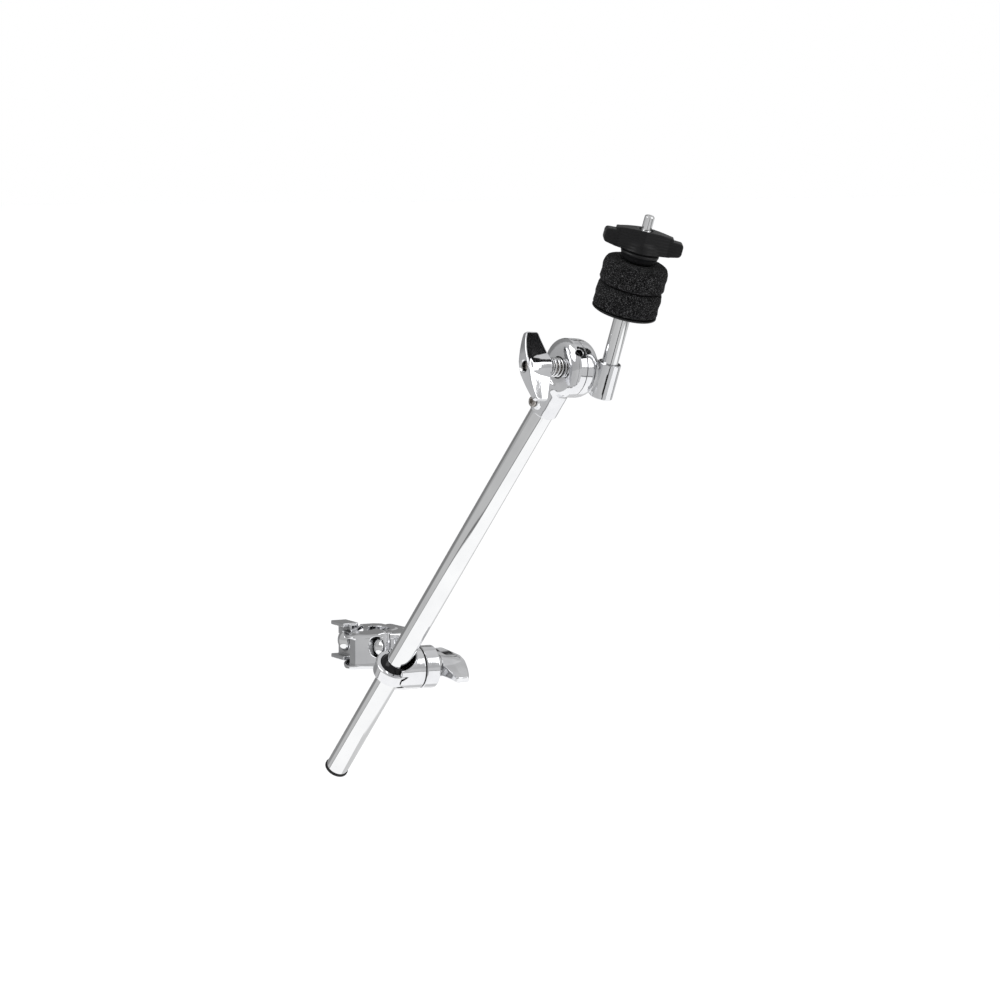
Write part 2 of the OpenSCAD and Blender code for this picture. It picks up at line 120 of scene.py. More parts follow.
def radius(node, m, axis, low=-1e9, high=1e9):
    """Largest distance from the local axis of a node's vertices between two heights."""
    co = local(node, m)
    co = co[(co[:, axis] > low) & (co[:, axis] < high)]
    return float(np.sqrt((np.delete(co, axis, 1) ** 2).sum(1)).max())


# ---- signed distances, in millimetres


def soft_min(a, b, k):
    h = np.maximum(k - np.abs(a - b), 0) / k
    return np.minimum(a, b) - h * h * k / 4


def soft_max(a, b, k):
    return -soft_min(-a, -b, k)


def cut(a, b, k=0.8):
    return soft_max(a, -b, k)


def slab(h, low, high):
    return np.abs(h - (low + high) / 2) - (high - low) / 2


def corner(q, w, e):
    return np.hypot(np.maximum(q + e, 0), np.maximum(w + e, 0)) + np.minimum(np.maximum(q, w) + e, 0) - e


def bar(a, b, h, r, low, high, e=0.6):
    """Round bar of radius r about the axis h, with its edges rounded by e."""
    return corner(np.hypot(a, b) - r, slab(h, low, high), e)


def cone(a, b, h, r_low, r_high, low, high, e=0.6):
    slope = (r_high - r_low) / (high - low)
    side = (np.hypot(a, b) - r_low - slope * (h - low)) / math.hypot(1, slope)
    return corner(side, slab(h, low, high), e)


def ball(x, y, z, r):
    return np.sqrt(x * x + y * y + z * z) - r


def block(x, y, z, low, high, e=0.8):
    q = [slab(v, a, b) + e for v, a, b in zip((x, y, z), low, high)]
    out = np.sqrt(sum(np.maximum(v, 0) ** 2 for v in q))
    return out + np.minimum(np.maximum(np.maximum(q[0], q[1]), q[2]), 0) - e


def plan(u, v, points):
    """Signed distance to a closed polygon in the (u, v) plane."""
    pts = np.array(points, float)
    best = np.float32(1e12)
    flip = False
    for i in range(len(pts)):
        a, b = pts[i], pts[(i + 1) % len(pts)]
        e = b - a
        wu, wv = u - a[0], v - a[1]
        t = np.clip((wu * e[0] + wv * e[1]) / (e @ e), 0, 1)
        best = np.minimum(best, (wu - e[0] * t) ** 2 + (wv - e[1] * t) ** 2)
        above = v >= a[1]
        under = v < b[1]
        left = e[0] * wv > e[1] * wu
        same = (above & under & left) | (~above & ~under & ~left)
        flip = flip ^ same
    return np.where(flip, -1.0, 1.0) * np.sqrt(best)


def plate(d2, h, low, high, e=0.8):
    return corner(d2, slab(h, low, high), e)


# ---- mesh makers


def new_object(name, points, faces, m, normals=None, uv=None):
    co = np.asarray(points, float)
    w = np.array(m)
    co = co @ w[:3, :3].T + w[:3, 3]
    mesh = bpy.data.meshes.new(name)
    mesh.from_pydata(co.tolist(), [], [list(f) for f in faces])
    mesh.validate()
    if uv is not None:
        layer = mesh.uv_layers.new(name="turned")
        index = np.empty(len(mesh.loops), int)
        mesh.loops.foreach_get("vertex_index", index)
        layer.data.foreach_set("uv", np.asarray(uv, float)[index].ravel())
    mesh.polygons.foreach_set("use_smooth", [True] * len(mesh.polygons))
    if normals is not None:
        n = np.asarray(normals, float) @ w[:3, :3].T
        n /= np.linalg.norm(n, axis=1, keepdims=True)
        mesh.normals_split_custom_set_from_vertices(n.tolist())
    ob = bpy.data.objects.new(name, mesh)
    bpy.context.scene.collection.objects.link(ob)
    return ob


def gradient(sd, p, step):
    g = np.empty_like(p)
    for i in range(3):
        hi, lo = p.copy(), p.copy()
        hi[:, i] += step
        lo[:, i] -= step
        g[:, i] = (sd(*hi.T) - sd(*lo.T)) / (2 * step)
    return g


def cast(name, sd, low, high, m, voxel=0.42):
    """Meshes the solid sd(x, y, z) < 0 inside the box low..high, then pulls its points onto the surface."""
    start = np.array(low, float) - 3 * voxel
    count = np.ceil((np.array(high) - low) / voxel).astype(int) + 6
    ax = [(start[i] + voxel * np.arange(count[i])).astype(np.float32) for i in range(3)]
    field = sd(ax[0][:, None, None], ax[1][None, :, None], ax[2][None, None, :])
    field = np.array(np.broadcast_to(field, count), dtype=np.float32, order="C")
    grid = openvdb.FloatGrid(1e3)
    grid.copyFromArray(field)
    pts, quads = grid.convertToQuads(0.0)
    p = pts.astype(float) * voxel + start
    for _ in range(3):
        g = gradient(sd, p, 0.05)
        move = g * (sd(*p.T) / np.maximum((g * g).sum(1), 0.2))[:, None]
        size = np.linalg.norm(move, axis=1, keepdims=True)
        p -= move * np.minimum(1, 0.5 * voxel / np.maximum(size, 1e-9))
    normals = gradient(sd, p, 0.12)
    q = quads.astype(int)
    a, b, c = p[q[:, 0]], p[q[:, 1]], p[q[:, 2]]
    if (np.cross(b - a, c - a) * normals[q[:, 0]]).sum() < 0:
        q = q[:, ::-1]
    return new_object(name, p, q.tolist(), m, normals)


def rounded(corners, steps=5):
    """Profile points from (radius, height, rounding) corners, each one cut by a smooth curve."""
    out = []
    n = len(corners)
    for i, (r, h, e) in enumerate(corners):
        here = np.array((r, h), float)
        if e <= 0 or r == 0:
            out.append(here)
            continue
        back = np.array(corners[i - 1][:2], float) - here
        ahead = np.array(corners[(i + 1) % n][:2], float) - here
        lb, la = np.linalg.norm(back), np.linalg.norm(ahead)
        reach = min(e, 0.48 * lb, 0.48 * la)
        p0, p1 = here + back / lb * reach, here + ahead / la * reach
        for k in range(steps + 1):
            t = k / steps
            out.append((1 - t) ** 2 * p0 + 2 * t * (1 - t) * here + t * t * p1)
    return np.array(out)


def turned(name, corners, m, segments=128, along=2, shift=(0, 0)):
    """Sweeps a rounded profile about a local axis. It closes up unless it starts and ends on the axis."""
    prof = rounded(corners)
    closed = not (corners[0][0] == 0 and corners[-1][0] == 0)
    a = np.linspace(0, 2 * math.pi, segments, endpoint=False)
    rows = len(prof)
    across = [i for i in range(3) if i != along]
    pts = np.zeros((rows, segments, 3))
    pts[:, :, across[0]] = prof[:, :1] * np.cos(a) + shift[0]
    pts[:, :, across[1]] = prof[:, :1] * np.sin(a) + shift[1]
    pts[:, :, along] = prof[:, 1:]
    uv = np.stack(np.broadcast_arrays(a[None, :] / (2 * math.pi), prof[:, 1:] * 0.05), -1).reshape(-1, 2)
    faces = []
    for i in range(rows if closed else rows - 1):
        j = (i + 1) % rows
        on_i, on_j = prof[i, 0] < 1e-9, prof[j, 0] < 1e-9
        for s in range(segments):
            t = (s + 1) % segments
            if on_i:
                faces.append((i * segments, j * segments + t, j * segments + s))
            elif on_j:
                faces.append((i * segments + s, i * segments + t, j * segments))
            else:
                faces.append((i * segments + s, i * segments + t, j * segments + t, j * segments + s))
    ob = new_object(name, pts.reshape(-1, 3), faces, m, uv=uv)
    tidy(ob)
    return ob


def tidy(ob, sharp=35):
    """Drops loose points, points the faces outwards and marks the sharp edges."""
    bm = bmesh.new()
    bm.from_mesh(ob.data)
    loose = [v for v in bm.verts if not v.link_faces]
    bmesh.ops.delete(bm, geom=loose, context="VERTS")
    bmesh.ops.remove_doubles(bm, verts=bm.verts, dist=1e-7)
    bmesh.ops.recalc_face_normals(bm, faces=bm.faces)
    bm.to_mesh(ob.data)
    bm.free()
    ob.data.set_sharp_from_angle(angle=math.radians(sharp))


def grid_faces(rows, segments):
    """Quads between neighbouring rings of points."""
    faces = []
    for i in range(rows - 1):
        for s in range(segments):
            t = (s + 1) % segments
            faces.append((i * segments + s, i * segments + t, (i + 1) * segments + t, (i + 1) * segments + s))
    return faces


def thread(name, r, low, high, m, pitch=1.25, depth=0.55, along=2, shift=(0, 0), segments=40, chamfer=1.0,
           plain=()):
    """A screwed bar: its radius follows a helix between low and high, plain over the given spans."""
    rows = int((high - low) / pitch * 8) + 1
    h = np.linspace(low, high, rows)[:, None]
    a = np.linspace(0, 2 * math.pi, segments, endpoint=False)[None, :]
    phase = (h / pitch - a / (2 * math.pi)) % 1.0
    tooth = np.clip(1.35 * (1 - np.abs(2 * phase - 1)) - 0.12, 0, 1)
    for lo, hi in plain:
        tooth = np.where((h > lo) & (h < hi), 0, tooth)
    rad = r - depth * tooth
    rad = np.minimum(rad, r - chamfer + np.minimum(h - low, high - h) + 0.02)
    across = [i for i in range(3) if i != along]
    pts = np.zeros((rows, segments, 3))
    pts[:, :, across[0]] = rad * np.cos(a) + shift[0]
    pts[:, :, across[1]] = rad * np.sin(a) + shift[1]
    pts[:, :, along] = h
    flat = pts.reshape(-1, 3).tolist()
    faces = grid_faces(rows, segments)
    for row, order in ((0, -1), (rows - 1, 1)):
        centre = [0.0, 0.0, 0.0]
        centre[across[0]], centre[across[1]], centre[along] = shift[0], shift[1], float(h[row, 0])
        flat.append(centre)
        for s in range(segments):
            faces.append((row * segments + s, row * segments + (s + order) % segments, len(flat) - 1))
    ob = new_object(name, flat, faces, m)
    tidy(ob, 50)
    return ob


def coil(name, r, wire, low, high, turns, m, along=1, segments=14, steps=48):
    """A compression spring about a local axis, with its end turns closed up."""
    n = int(turns * steps)
    i = np.arange(n + 1)
    a = 2 * math.pi * i / steps
    t = i / n
    rise = np.clip((t - 0.12) / 0.76, 0, 1)
    h = low + wire + (high - low - 2 * wire) * (0.14 * t + 0.86 * rise)
    b = 2 * math.pi * np.arange(segments) / segments
    ring = r + wire * np.cos(b)[None, :]
    pts = np.zeros((n + 1, segments, 3))
    across = [k for k in range(3) if k != along]
    pts[:, :, across[0]] = ring * np.cos(a)[:, None]
    pts[:, :, across[1]] = ring * np.sin(a)[:, None]
    pts[:, :, along] = h[:, None] + wire * np.sin(b)[None, :]
    faces = grid_faces(n + 1, segments)
    faces.append(tuple(range(segments)))
    faces.append(tuple(n * segments + s for s in range(segments)))
    ob = new_object(name, pts.reshape(-1, 3), faces, m)
    tidy(ob, 60)
    return ob


def joined(name, *parts):
    bpy.ops.object.select_all(action="DESELECT")
    for p in parts:
        p.select_set(True)
    bpy.context.view_layer.objects.active = parts[0]
    bpy.ops.object.join()
    parts[0].name = name
    parts[0].data.name = name
    return parts[0]


# ---- materials


class Graph:
    """Adds nodes to a shader tree. An input takes either a plain value or another node's output."""

    def __init__(self, tree):
        self.tree = tree

    def feed(self, socket, value):
        if hasattr(value, "is_output"):
            self.tree.links.new(value, socket)
        else:
            socket.default_value = value

    def add(self, kind, inputs=None, **props):
        n = self.tree.nodes.new("ShaderNode" + kind)
        for k, v in props.items():
            setattr(n, k, v)
        for k, v in (inputs or {}).items():
            self.feed(n.inputs[k], v)
        return n

    def math(self, op, a, b=0.0):
        return self.add("Math", {0: a, 1: b}, operation=op).outputs[0]


class Nodes(Graph):
    """A node material around its principled shader."""

    def __init__(self, name):
        self.mat = bpy.data.materials.new(name)
        self.mat.use_nodes = True
        super().__init__(self.mat.node_tree)
        self.bsdf = next(n for n in self.tree.nodes if n.type == "BSDF_PRINCIPLED")

    def set(self, **inputs):
        for k, v in inputs.items():
            self.feed(self.bsdf.inputs[k.replace("_", " ")], v)

    def where(self, uv=False, scale=(1, 1, 1)):
        co = self.add("TexCoord").outputs["UV" if uv else "Object"]
        return self.add("Mapping", {"Vector": co, "Scale": scale}).outputs["Vector"]

    def noise(self, vector, scale, detail=3.0, rough=0.55):
        n = self.add("TexNoise", {"Vector": vector, "Scale": scale, "Detail": detail, "Roughness": rough})
        return n.outputs["Fac"]

    def ramp(self, fac, stops):
        n = self.add("ValToRGB", {"Fac": fac})
        e = n.color_ramp.elements
        while len(e) < len(stops):
            e.new(0.5)
        for el, (pos, val) in zip(e, stops):
            el.position = pos
            el.color = val if len(val) == 4 else (*val, 1)
        return n.outputs["Color"]

    def bump(self, height, strength, distance, normal=None):
        inputs = {"Height": height, "Strength": strength, "Distance": distance}
        if normal is not None:
            inputs["Normal"] = normal
        return self.add("Bump", inputs).outputs["Normal"]


    def multiply(self, a, b):
        mix = self.add("Mix", {0: 1.0, 6: a, 7: b}, data_type="RGBA", blend_type="MULTIPLY")
        return mix.outputs[2]


def grey(v):
    return (v, v, v * 1.01)


def chrome_cast():
    """Plated zinc casting: slow waves in the skin, faint pits, a duller bloom, and painted shade that darkens
    its crevices.
    """
    n = Nodes("chrome_casting")
    at = n.where()
    wave = n.noise(at, 130, 2.0, 0.45)
    pits = n.noise(at, 1500, 4.0, 0.6)
    bloom = n.noise(at, 60, 4.0, 0.6)
    colour = n.ramp(bloom, [(0.25, (0.73, 0.735, 0.75)), (0.75, (0.84, 0.845, 0.85))])
    rough = n.ramp(bloom, [(0.3, grey(0.045)), (0.75, grey(0.115))])
    # Painted shade: ambient occlusion darkens the base colour in crevices, slots and recesses, where shade
    # falls.
    painted_crevice_shade = n.add("AmbientOcclusion", {"Distance": 0.008}, samples=6).outputs["AO"]
    painted_crevice_shade = n.ramp(painted_crevice_shade, [(0.3, grey(0.05)), (0.72, grey(1.0))])
    colour = n.multiply(colour, painted_crevice_shade)
    skin = n.bump(wave, 0.25, 0.0003)
    skin = n.bump(n.ramp(pits, [(0.2, grey(0)), (0.34, grey(1))]), 0.25, 0.00004, skin)
    n.set(Base_Color=colour, Metallic=1.0, Roughness=rough, Normal=skin)
    return n.mat


def chrome_tube():
    """Drawn and plated steel tube: very smooth, with hairline marks along it and a few handling scuffs."""
    n = Nodes("chrome_steel")
    uv = n.where(uv=True, scale=(260, 1.2, 1))
    lines = n.noise(uv, 1.0, 3.0, 0.6)
    at = n.where()
    film = n.noise(at, 24, 4.0, 0.6)
    fine = n.noise(at, 900, 2.0, 0.5)
    colour = n.ramp(film, [(0.3, (0.8, 0.805, 0.815)), (0.7, (0.87, 0.875, 0.88))])
    rough = n.ramp(film, [(0.35, grey(0.02)), (0.7, grey(0.06))])
    skin = n.bump(lines, 0.06, 0.00003)
    skin = n.bump(fine, 0.05, 0.00003, skin)
    n.set(Base_Color=colour, Metallic=1.0, Roughness=rough, Normal=skin)
    return n.mat


def zinc_steel():
    """Machine screws: plated steel, darker and warmer, with a turned grain and stain in the thread."""
    n = Nodes("steel_insert")
    at = n.where()
    stain = n.noise(at, 420, 5.0, 0.65)
    grain = n.noise(at, 2200, 3.0, 0.6)
    colour = n.ramp(stain, [(0.3, (0.30, 0.275, 0.25)), (0.7, (0.56, 0.54, 0.52))])
    rough = n.ramp(grain, [(0.3, grey(0.2)), (0.75, grey(0.38))])
    n.set(Base_Color=colour, Metallic=1.0, Roughness=rough, Normal=n.bump(grain, 0.3, 0.00004))
    return n.mat


def moulded(name, base, low, high, texture, depth, scale=1100):
    """Black moulded part: fine spark-eroded texture, soft sheen and light rub marks."""
    n = Nodes(name)
    at = n.where()
    fine = n.noise(at, scale, 4.0, 0.6)
    rub = n.noise(at, 90, 5.0, 0.65)
    cells = n.add("TexVoronoi", {"Vector": at, "Scale": scale * 1.6}).outputs["Distance"]
    colour = n.ramp(rub, [(0.3, base), (0.8, tuple(v * 1.7 for v in base))])
    rough = n.ramp(rub, [(0.25, grey(low)), (0.8, grey(high))])
    skin = n.bump(cells, texture, depth)
    skin = n.bump(fine, texture, depth, skin)
    n.set(Base_Color=colour, Roughness=rough, Normal=skin, Specular_IOR_Level=0.3)
    return n.mat


def felt_wool():
    """Pressed black wool: crossed fibres, pale lint flecks and a soft sheen at grazing angles."""
    n = Nodes("felt")
    at = n.where()
    warp = n.noise(at, 260, 3.0, 0.6)
    warp_v = n.add("VectorMath", {0: at, 1: (0.004, 0.004, 0.004)}, operation="ADD").outputs[0]
    fibre_a = n.noise(n.where(scale=(1, 5, 1)), 900, 3.0, 0.65)
    fibre_b = n.noise(n.where(scale=(5, 1, 1)), 900, 3.0, 0.65)
    fibre_c = n.noise(warp_v, 1500, 4.0, 0.7)
    mixed = n.math("MULTIPLY", n.math("ADD", fibre_a, fibre_b), 0.5)
    mixed = n.math("MULTIPLY", n.math("ADD", mixed, fibre_c), 0.5)
    lint = n.ramp(mixed, [(0.44, (0.001, 0.001, 0.0011)), (0.52, (0.006, 0.006, 0.0063)),
                          (0.6, (0.15, 0.15, 0.152))])
    shade = n.ramp(warp, [(0.3, grey(0.55)), (0.7, grey(1.0))])
    colour = n.multiply(lint, shade)
    skin = n.bump(mixed, 0.9, 0.0006)
    n.set(Base_Color=colour, Roughness=0.95, Normal=skin, Specular_IOR_Level=0.03, Sheen_Weight=0.012,
          Sheen_Roughness=0.5)
    return n.mat


# Each skin is a material and the name of the slot it belongs to
CHROME = chrome_cast(), "chrome_casting"
TUBE = chrome_tube(), "chrome_steel"
SCREW = zinc_steel(), "steel_insert"
PLASTIC = moulded("black_plastic", (0.0035, 0.0035, 0.004), 0.3, 0.44, 0.22, 0.00005), "black_plastic"
RESIN = moulded("ball_resin", (0.003, 0.003, 0.0035), 0.14, 0.24, 0.08, 0.00003, 500), "ball_resin"
FIBRE = moulded("black_fibre", (0.02, 0.019, 0.018), 0.55, 0.7, 0.35, 0.00006), "black_fibre"
FELT = felt_wool(), "felt"


def finish_piece(ob, node, body, skin):
    mat, slot = skin
    ob.data.materials.clear()
    ob.data.materials.append(mat)
    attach(ob, body)
    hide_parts(node)
    return ob


def cast_piece(name, solid, node, body, m, skin=CHROME, voxel=0.42):
    low, high = span(node, m)
    return finish_piece(cast(name, solid, low, high, m, voxel), node, body, skin)


def ring_piece(name, node, body, m, skin, bore_edge, rims, along=1, segments=96, shift=(0, 0), bore=None):
    """A turned ring over its node's height; rims are the (radius, rounding) of its low and its high edge."""
    low, high = (end[along] for end in span(node, m))
    inner = M8 + GAP if bore is None else bore
    (r_low, e_low), (r_high, e_high) = rims
    corners = [(inner, low, bore_edge), (r_low, low, e_low), (r_high, high, e_high), (inner, high, bore_edge)]
    return finish_piece(turned(name, corners, m, segments, along, shift=shift), node, body, skin)


# ---- stand clamp, in the CLAMP frame

# Sizes of the pieces are in millimetres, here and in the sections up to the felts
bolt_at = joint_pos("clamp_nut_spin") / MM
pivot_at = joint_pos("jaw_open") / MM
holder_at = ball_centre / MM
STAND_R = 14.3
BAND_T = 5
BOLT_BOSS_R = 9
NOSE_R = 5.5
NOSE_HALF = 12.5
FLANGE = 3.5
LOCK_NUT_WELL_R, PIVOT_WELL_R, BOLT_WELL_R = 7.2, 8.9, 9.3
PIVOT_SLOT_R, BOLT_SLOT_R = 3.8, 4.6
M8, M6, M5 = 4.0, 3.0, 2.5
GAP = 0.08
FAR = 999
fixed_low, fixed_top = -14.5, 11.5
sleeve_front, sleeve_back = span("swivel_washer", CLAMP)[1][1] + GAP, span("clamp_body", CLAMP)[1][1]
BARREL_R = radius("boom_saddle", HEAD, 1, 2, 20)
fixed_outline = [(-33, 2.5), (-33, 15), (-28, 21.5), (-12, 21.5), (2, 23.5), (16, 23.5), (30, 20.5), (40, 18),
                 (41, 0), (38, -3), (28, -3), (24, 2.5)]


def clamp_body_solid(x, y, z):
    outline = plan(x, y, fixed_outline)
    d = plate(outline, z, fixed_low, fixed_low + FLANGE, 1.0)
    d = soft_min(d, plate(outline, z, fixed_top - FLANGE, fixed_top, 1.0), 0.4)
    wall = soft_max(np.hypot(x, y) - STAND_R - BAND_T, 2.5 - y, 0.8)
    end = soft_max(plan(x, y, [(24, -3), (42, -3), (42, 17), (24, 17)]), outline, 1.0)
    d = soft_min(d, plate(np.minimum(wall, end), z, fixed_low, fixed_top, 1.0), 2.2)
    d = soft_min(d, bar(x - bolt_at[0], z, y, BOLT_BOSS_R, 2.5, 21.5, 0.8), 2.5)
    arm = soft_max(plan(x, y, [(31, 4), (40, 4), (52, sleeve_front), (52, 24), (48, 24), (31, 18)]),
                   plan(x, z, [(31, -11), (31, 8), (40, 8), (52, -5), (52, -25), (48, -25)]), 2.5)
    sx, sz = x - holder_at[0], z - holder_at[2]
    sleeve = bar(sx, sz, y, BARREL_R, sleeve_front, sleeve_back, 1.1)
    d = soft_min(soft_min(d, arm, 4.0), sleeve, 3.0)
    d = cut(d, np.hypot(x, y) - STAND_R, 0.7)
    d = cut(d, np.hypot(x - bolt_at[0], z) - M8 - GAP, 0.5)
    d = cut(d, np.hypot(x - pivot_at[0], y - pivot_at[1]) - NOSE_R - 0.12, 0.5)
    d = cut(d, np.hypot(x - pivot_at[0], z) - M6 - GAP, 0.4)
    d = cut(d, soft_max(np.hypot(x - pivot_at[0], z) - LOCK_NUT_WELL_R, 18 - y, 0.4), 0.5)
    d = cut(d, np.hypot(sx, sz) - M8 - GAP, 0.5)
    return cut(d, soft_max(np.hypot(sx, sz) - BARREL_R - 0.6, y - sleeve_front, 0.2), 0.4)


JAW_R = 25.5
moving_outline = [(-15, -2.5), (-16, -13)]
moving_outline += [(JAW_R * math.cos(math.radians(a)), JAW_R * math.sin(math.radians(a)))
                   for a in range(232, 293, 6)]
moving_outline += [(26, -15.5), (34, -11), (38, -6), (28, -2.5)]
SLOPE = math.radians(16)
LIP_BASES, PLATE_BASES = (-16.0, 12.5), (-15.0, 11.0)


def moving_jaw_solid(x, y, z):
    """Two sloped plates joined by a web, with flat lips beside the bolt's slot and a nose at the pivot."""
    d = np.float32(1e3)
    for low in LIP_BASES:
        d = np.minimum(d, block(x, y, z, (-36, -23.5, low), (-10, -9, low + FLANGE), 0.9))
    for low in PLATE_BASES:
        yy = y * math.cos(SLOPE) + (z - low) * math.sin(SLOPE)
        zz = (z - low) * math.cos(SLOPE) - y * math.sin(SLOPE)
        d = soft_min(d, plate(plan(x, yy, moving_outline), zz, 0, FLANGE, 1.0), 0.6)
    behind_stand = plan(x, y, [(-1, -22), (31, -22), (39, -13), (39, -2), (-1, -2)])
    web = soft_max(plan(x, y, moving_outline), behind_stand, 1.6)
    d = soft_min(d, plate(web, z, -17.5, 9.5, 1.0), 1.6)
    d = soft_min(d, block(x, y, z, (-34, -17.5, -15), (-8, -11.5, 15), 0.9), 1.0)
    nose = np.hypot(x - pivot_at[0], y - pivot_at[1]) - NOSE_R
    d = soft_min(d, soft_max(nose, slab(z, -NOSE_HALF, NOSE_HALF), 0.8), 0.8)
    d = cut(d, np.hypot(x, y) - STAND_R, 0.7)
    slot = soft_max(slab(z, -BOLT_SLOT_R, BOLT_SLOT_R), x - bolt_at[0], 0.1)
    slot = np.minimum(np.hypot(x - bolt_at[0], z) - BOLT_SLOT_R, slot)
    d = cut(d, slot, 0.6)
    d = cut(d, soft_max(np.hypot(x - pivot_at[0], z) - PIVOT_SLOT_R, slab(y, -16, 8), 0.2), 0.4)
    well = soft_max(np.hypot(x - pivot_at[0], z) - PIVOT_WELL_R, y + 8.5, 0.4)
    d = cut(d, cut(well, nose, 0.3), 0.6)
    d = cut(d, soft_max(np.hypot(x - bolt_at[0], z) - BOLT_WELL_R, y + 17.5, 0.4), 0.6)
    beyond = cut(soft_max(24.5 - x, -3 - y, 0.1), nose, 0.1)
    d = cut(d, beyond, 0.2)
    return cut(d, soft_max(-2.5 - y, x - 25, 0.1), 0.3)


CROWN = 6.5
TIP_LIFT = 4.5
NUT_HUB_R, NUT_HUB_TOP_R = 9.4, 6.0


def wing_nut_solid(half, depth):
    """A cast two-armed wing nut on +z: a crowned back, arms raised underneath and thinned to the tips, a
    round hub.
    """
    crown_r = (half * half + CROWN * CROWN) / (2 * CROWN)

    def sd(x, y, z):
        side = np.abs(x)
        blade = soft_max(np.hypot(x, z - depth + crown_r) - crown_r, side - half, 1.6)
        under = TIP_LIFT * np.clip((side - 9.5) / (half - 9.5), 0, 1)
        blade = soft_max(blade, (under - z) * 0.97, 1.6)
        t = np.clip((side - 5.0) / (half - 5.0), 0, 1)
        width = 2.3 + 3.4 * (1 - t) ** 1.6 + 0.5 * np.clip(np.abs(z - 10) / 8, 0, 1)
        blade = soft_max(blade, (np.abs(y) - width) * 0.97, 1.3)
        hub = cone(x, y, z, NUT_HUB_R, NUT_HUB_TOP_R, 0, depth - CROWN + 2.4, 1.0)
        d = soft_min(blade, hub, 2.6)
        bore = soft_max((np.hypot(x, y) - M8 - GAP - np.maximum(0, z - depth + 1.2)) * 0.8, -z - 1, 0.1)
        return cut(d, bore, 0.5)
    return sd


def nut_matrix(node, m, axis, sign):
    """Local frame of a wing nut: z along its axis from the bearing face, x along its wings."""
    co = local(node, m)
    face = co[:, axis].min() if sign > 0 else co[:, axis].max()
    across = [i for i in range(3) if i != axis]
    mid = (co.max(0) + co.min(0)) / 2
    flat = co[:, across] - mid[across]
    far = flat[np.hypot(*flat.T) > np.hypot(*flat.T).max() * 0.9]
    far = np.where((far @ far[0] < 0)[:, None], -far, far)
    x2 = far.mean(0)
    x2 /= np.linalg.norm(x2)
    z = np.zeros(3)
    z[axis] = sign
    x = np.zeros(3)
    x[across[0]], x[across[1]] = x2
    y = np.cross(z, x)
    origin = mid.copy()
    origin[axis] = face
    turn = Matrix(np.array([x, y, z]).T.tolist()).to_4x4()
    turn.translation = Vector(origin.tolist())
    return m @ turn


def wing_nut(name, node, body, m, axis, sign):
    nm = nut_matrix(node, m, axis, sign)
    low, high = span(node, nm)
    ob = cast(name, wing_nut_solid(high[0], high[2]), low, high, nm, 0.4)
    return finish_piece(ob, node, body, CHROME)


def domed(r, h, rim, base, sign, e=0.5):
    """Corners of a domed head on a plane at height base, growing towards sign."""
    out = [(0, base, 0), (r, base, 0.2), (r, base + sign * rim, e)]
    cap = h - rim
    dome_r = (r * r + cap * cap) / (2 * cap)
    a0 = math.acos(r / dome_r)
    for i in range(1, 12):
        a = a0 + (math.pi / 2 - a0) * i / 12
        out.append((dome_r * math.cos(a), base + sign * (rim + cap - dome_r + dome_r * math.sin(a)), 0))
    out.append((0, base + sign * h, 0))
    return out


cast_piece("clamp_body_cast", clamp_body_solid, "clamp_body", "clamp", CLAMP)
cast_piece("moving_jaw_cast", moving_jaw_solid, "moving_jaw", "jaw", CLAMP)
wing_nut("clamp_wing_nut_cast", "clamp_wing_nut", "clamp_nut", CLAMP, 1, 1)

bolt_low, bolt_high = span("clamp_bolt", CLAMP)
bolt_xz = (bolt_at[0], bolt_at[2])
head_r = (bolt_high[0] - bolt_low[0]) / 2
BOLT_HEAD_H, PIVOT_HEAD_H = 5.5, 4.6
seat = bolt_low[1] + BOLT_HEAD_H
head = turned("clamp_bolt_head", domed(head_r, BOLT_HEAD_H, 1.6, seat, -1), CLAMP, 96, 1, shift=bolt_xz)
shank = thread("clamp_bolt_thread", M8, seat - 0.5, bolt_high[1], CLAMP, along=1, shift=bolt_xz,
               plain=((-FAR, 2.0),))
finish_piece(joined("clamp_bolt_piece", head, shank), "clamp_bolt", "clamp_bolt", TUBE)

w_low, w_high = span("clamp_washer", CLAMP)
washer_r = (w_high[0] - w_low[0]) / 2
ring_piece("clamp_washer_ring", "clamp_washer", "clamp", CLAMP, TUBE, 0.2, ((washer_r, 0.5), (washer_r, 0.5)),
           shift=bolt_xz)

p_low, p_high = span("pivot_bolt", CLAMP)
pivot_xz = (pivot_at[0], 0)
p_seat = p_low[1] + PIVOT_HEAD_H
pivot_head_r = (p_high[0] - p_low[0]) / 2
head = turned("pivot_head", domed(pivot_head_r, PIVOT_HEAD_H, 1.2, p_seat, -1), CLAMP, 96, 1, shift=pivot_xz)
shank = thread("pivot_thread", M6, p_seat - 0.5, p_high[1], CLAMP, 1.0, 0.45, 1, pivot_xz,
               plain=((-FAR, 12.0),))
finish_piece(joined("pivot_bolt_piece", head, shank), "pivot_bolt", "clamp", TUBE)

n_low, n_high = span("pivot_lock_nut", CLAMP)
LOCK_FLAT_R, LOCK_HEX_H, LOCK_CROWN_R = 5.0, 4.8, 4.6


def hexagon(u, v, flat_r):
    a = np.abs(u)
    b = np.abs(v)
    return np.maximum(b, a * math.cos(math.pi / 6) + b * 0.5) - flat_r


def lock_nut_solid(x, y, z):
    u, v = x - pivot_at[0], z
    base = soft_max(hexagon(u, v, LOCK_FLAT_R), slab(y, n_low[1], n_low[1] + LOCK_HEX_H), 0.3)
    base = soft_max(base, np.hypot(u, v) - 6.4 + 0.8 * np.abs(y - n_low[1] - 2.4) - 1.0, 0.3)
    d = soft_min(base, bar(u, v, y, LOCK_CROWN_R, n_low[1], n_high[1], 0.9), 0.5)
    return cut(d, np.hypot(u, v) - M6 - 0.02, 0.4)


cast_piece("pivot_lock_nut_piece", lock_nut_solid, "pivot_lock_nut", "clamp", CLAMP, SCREW, 0.22)

# ---- boom holder

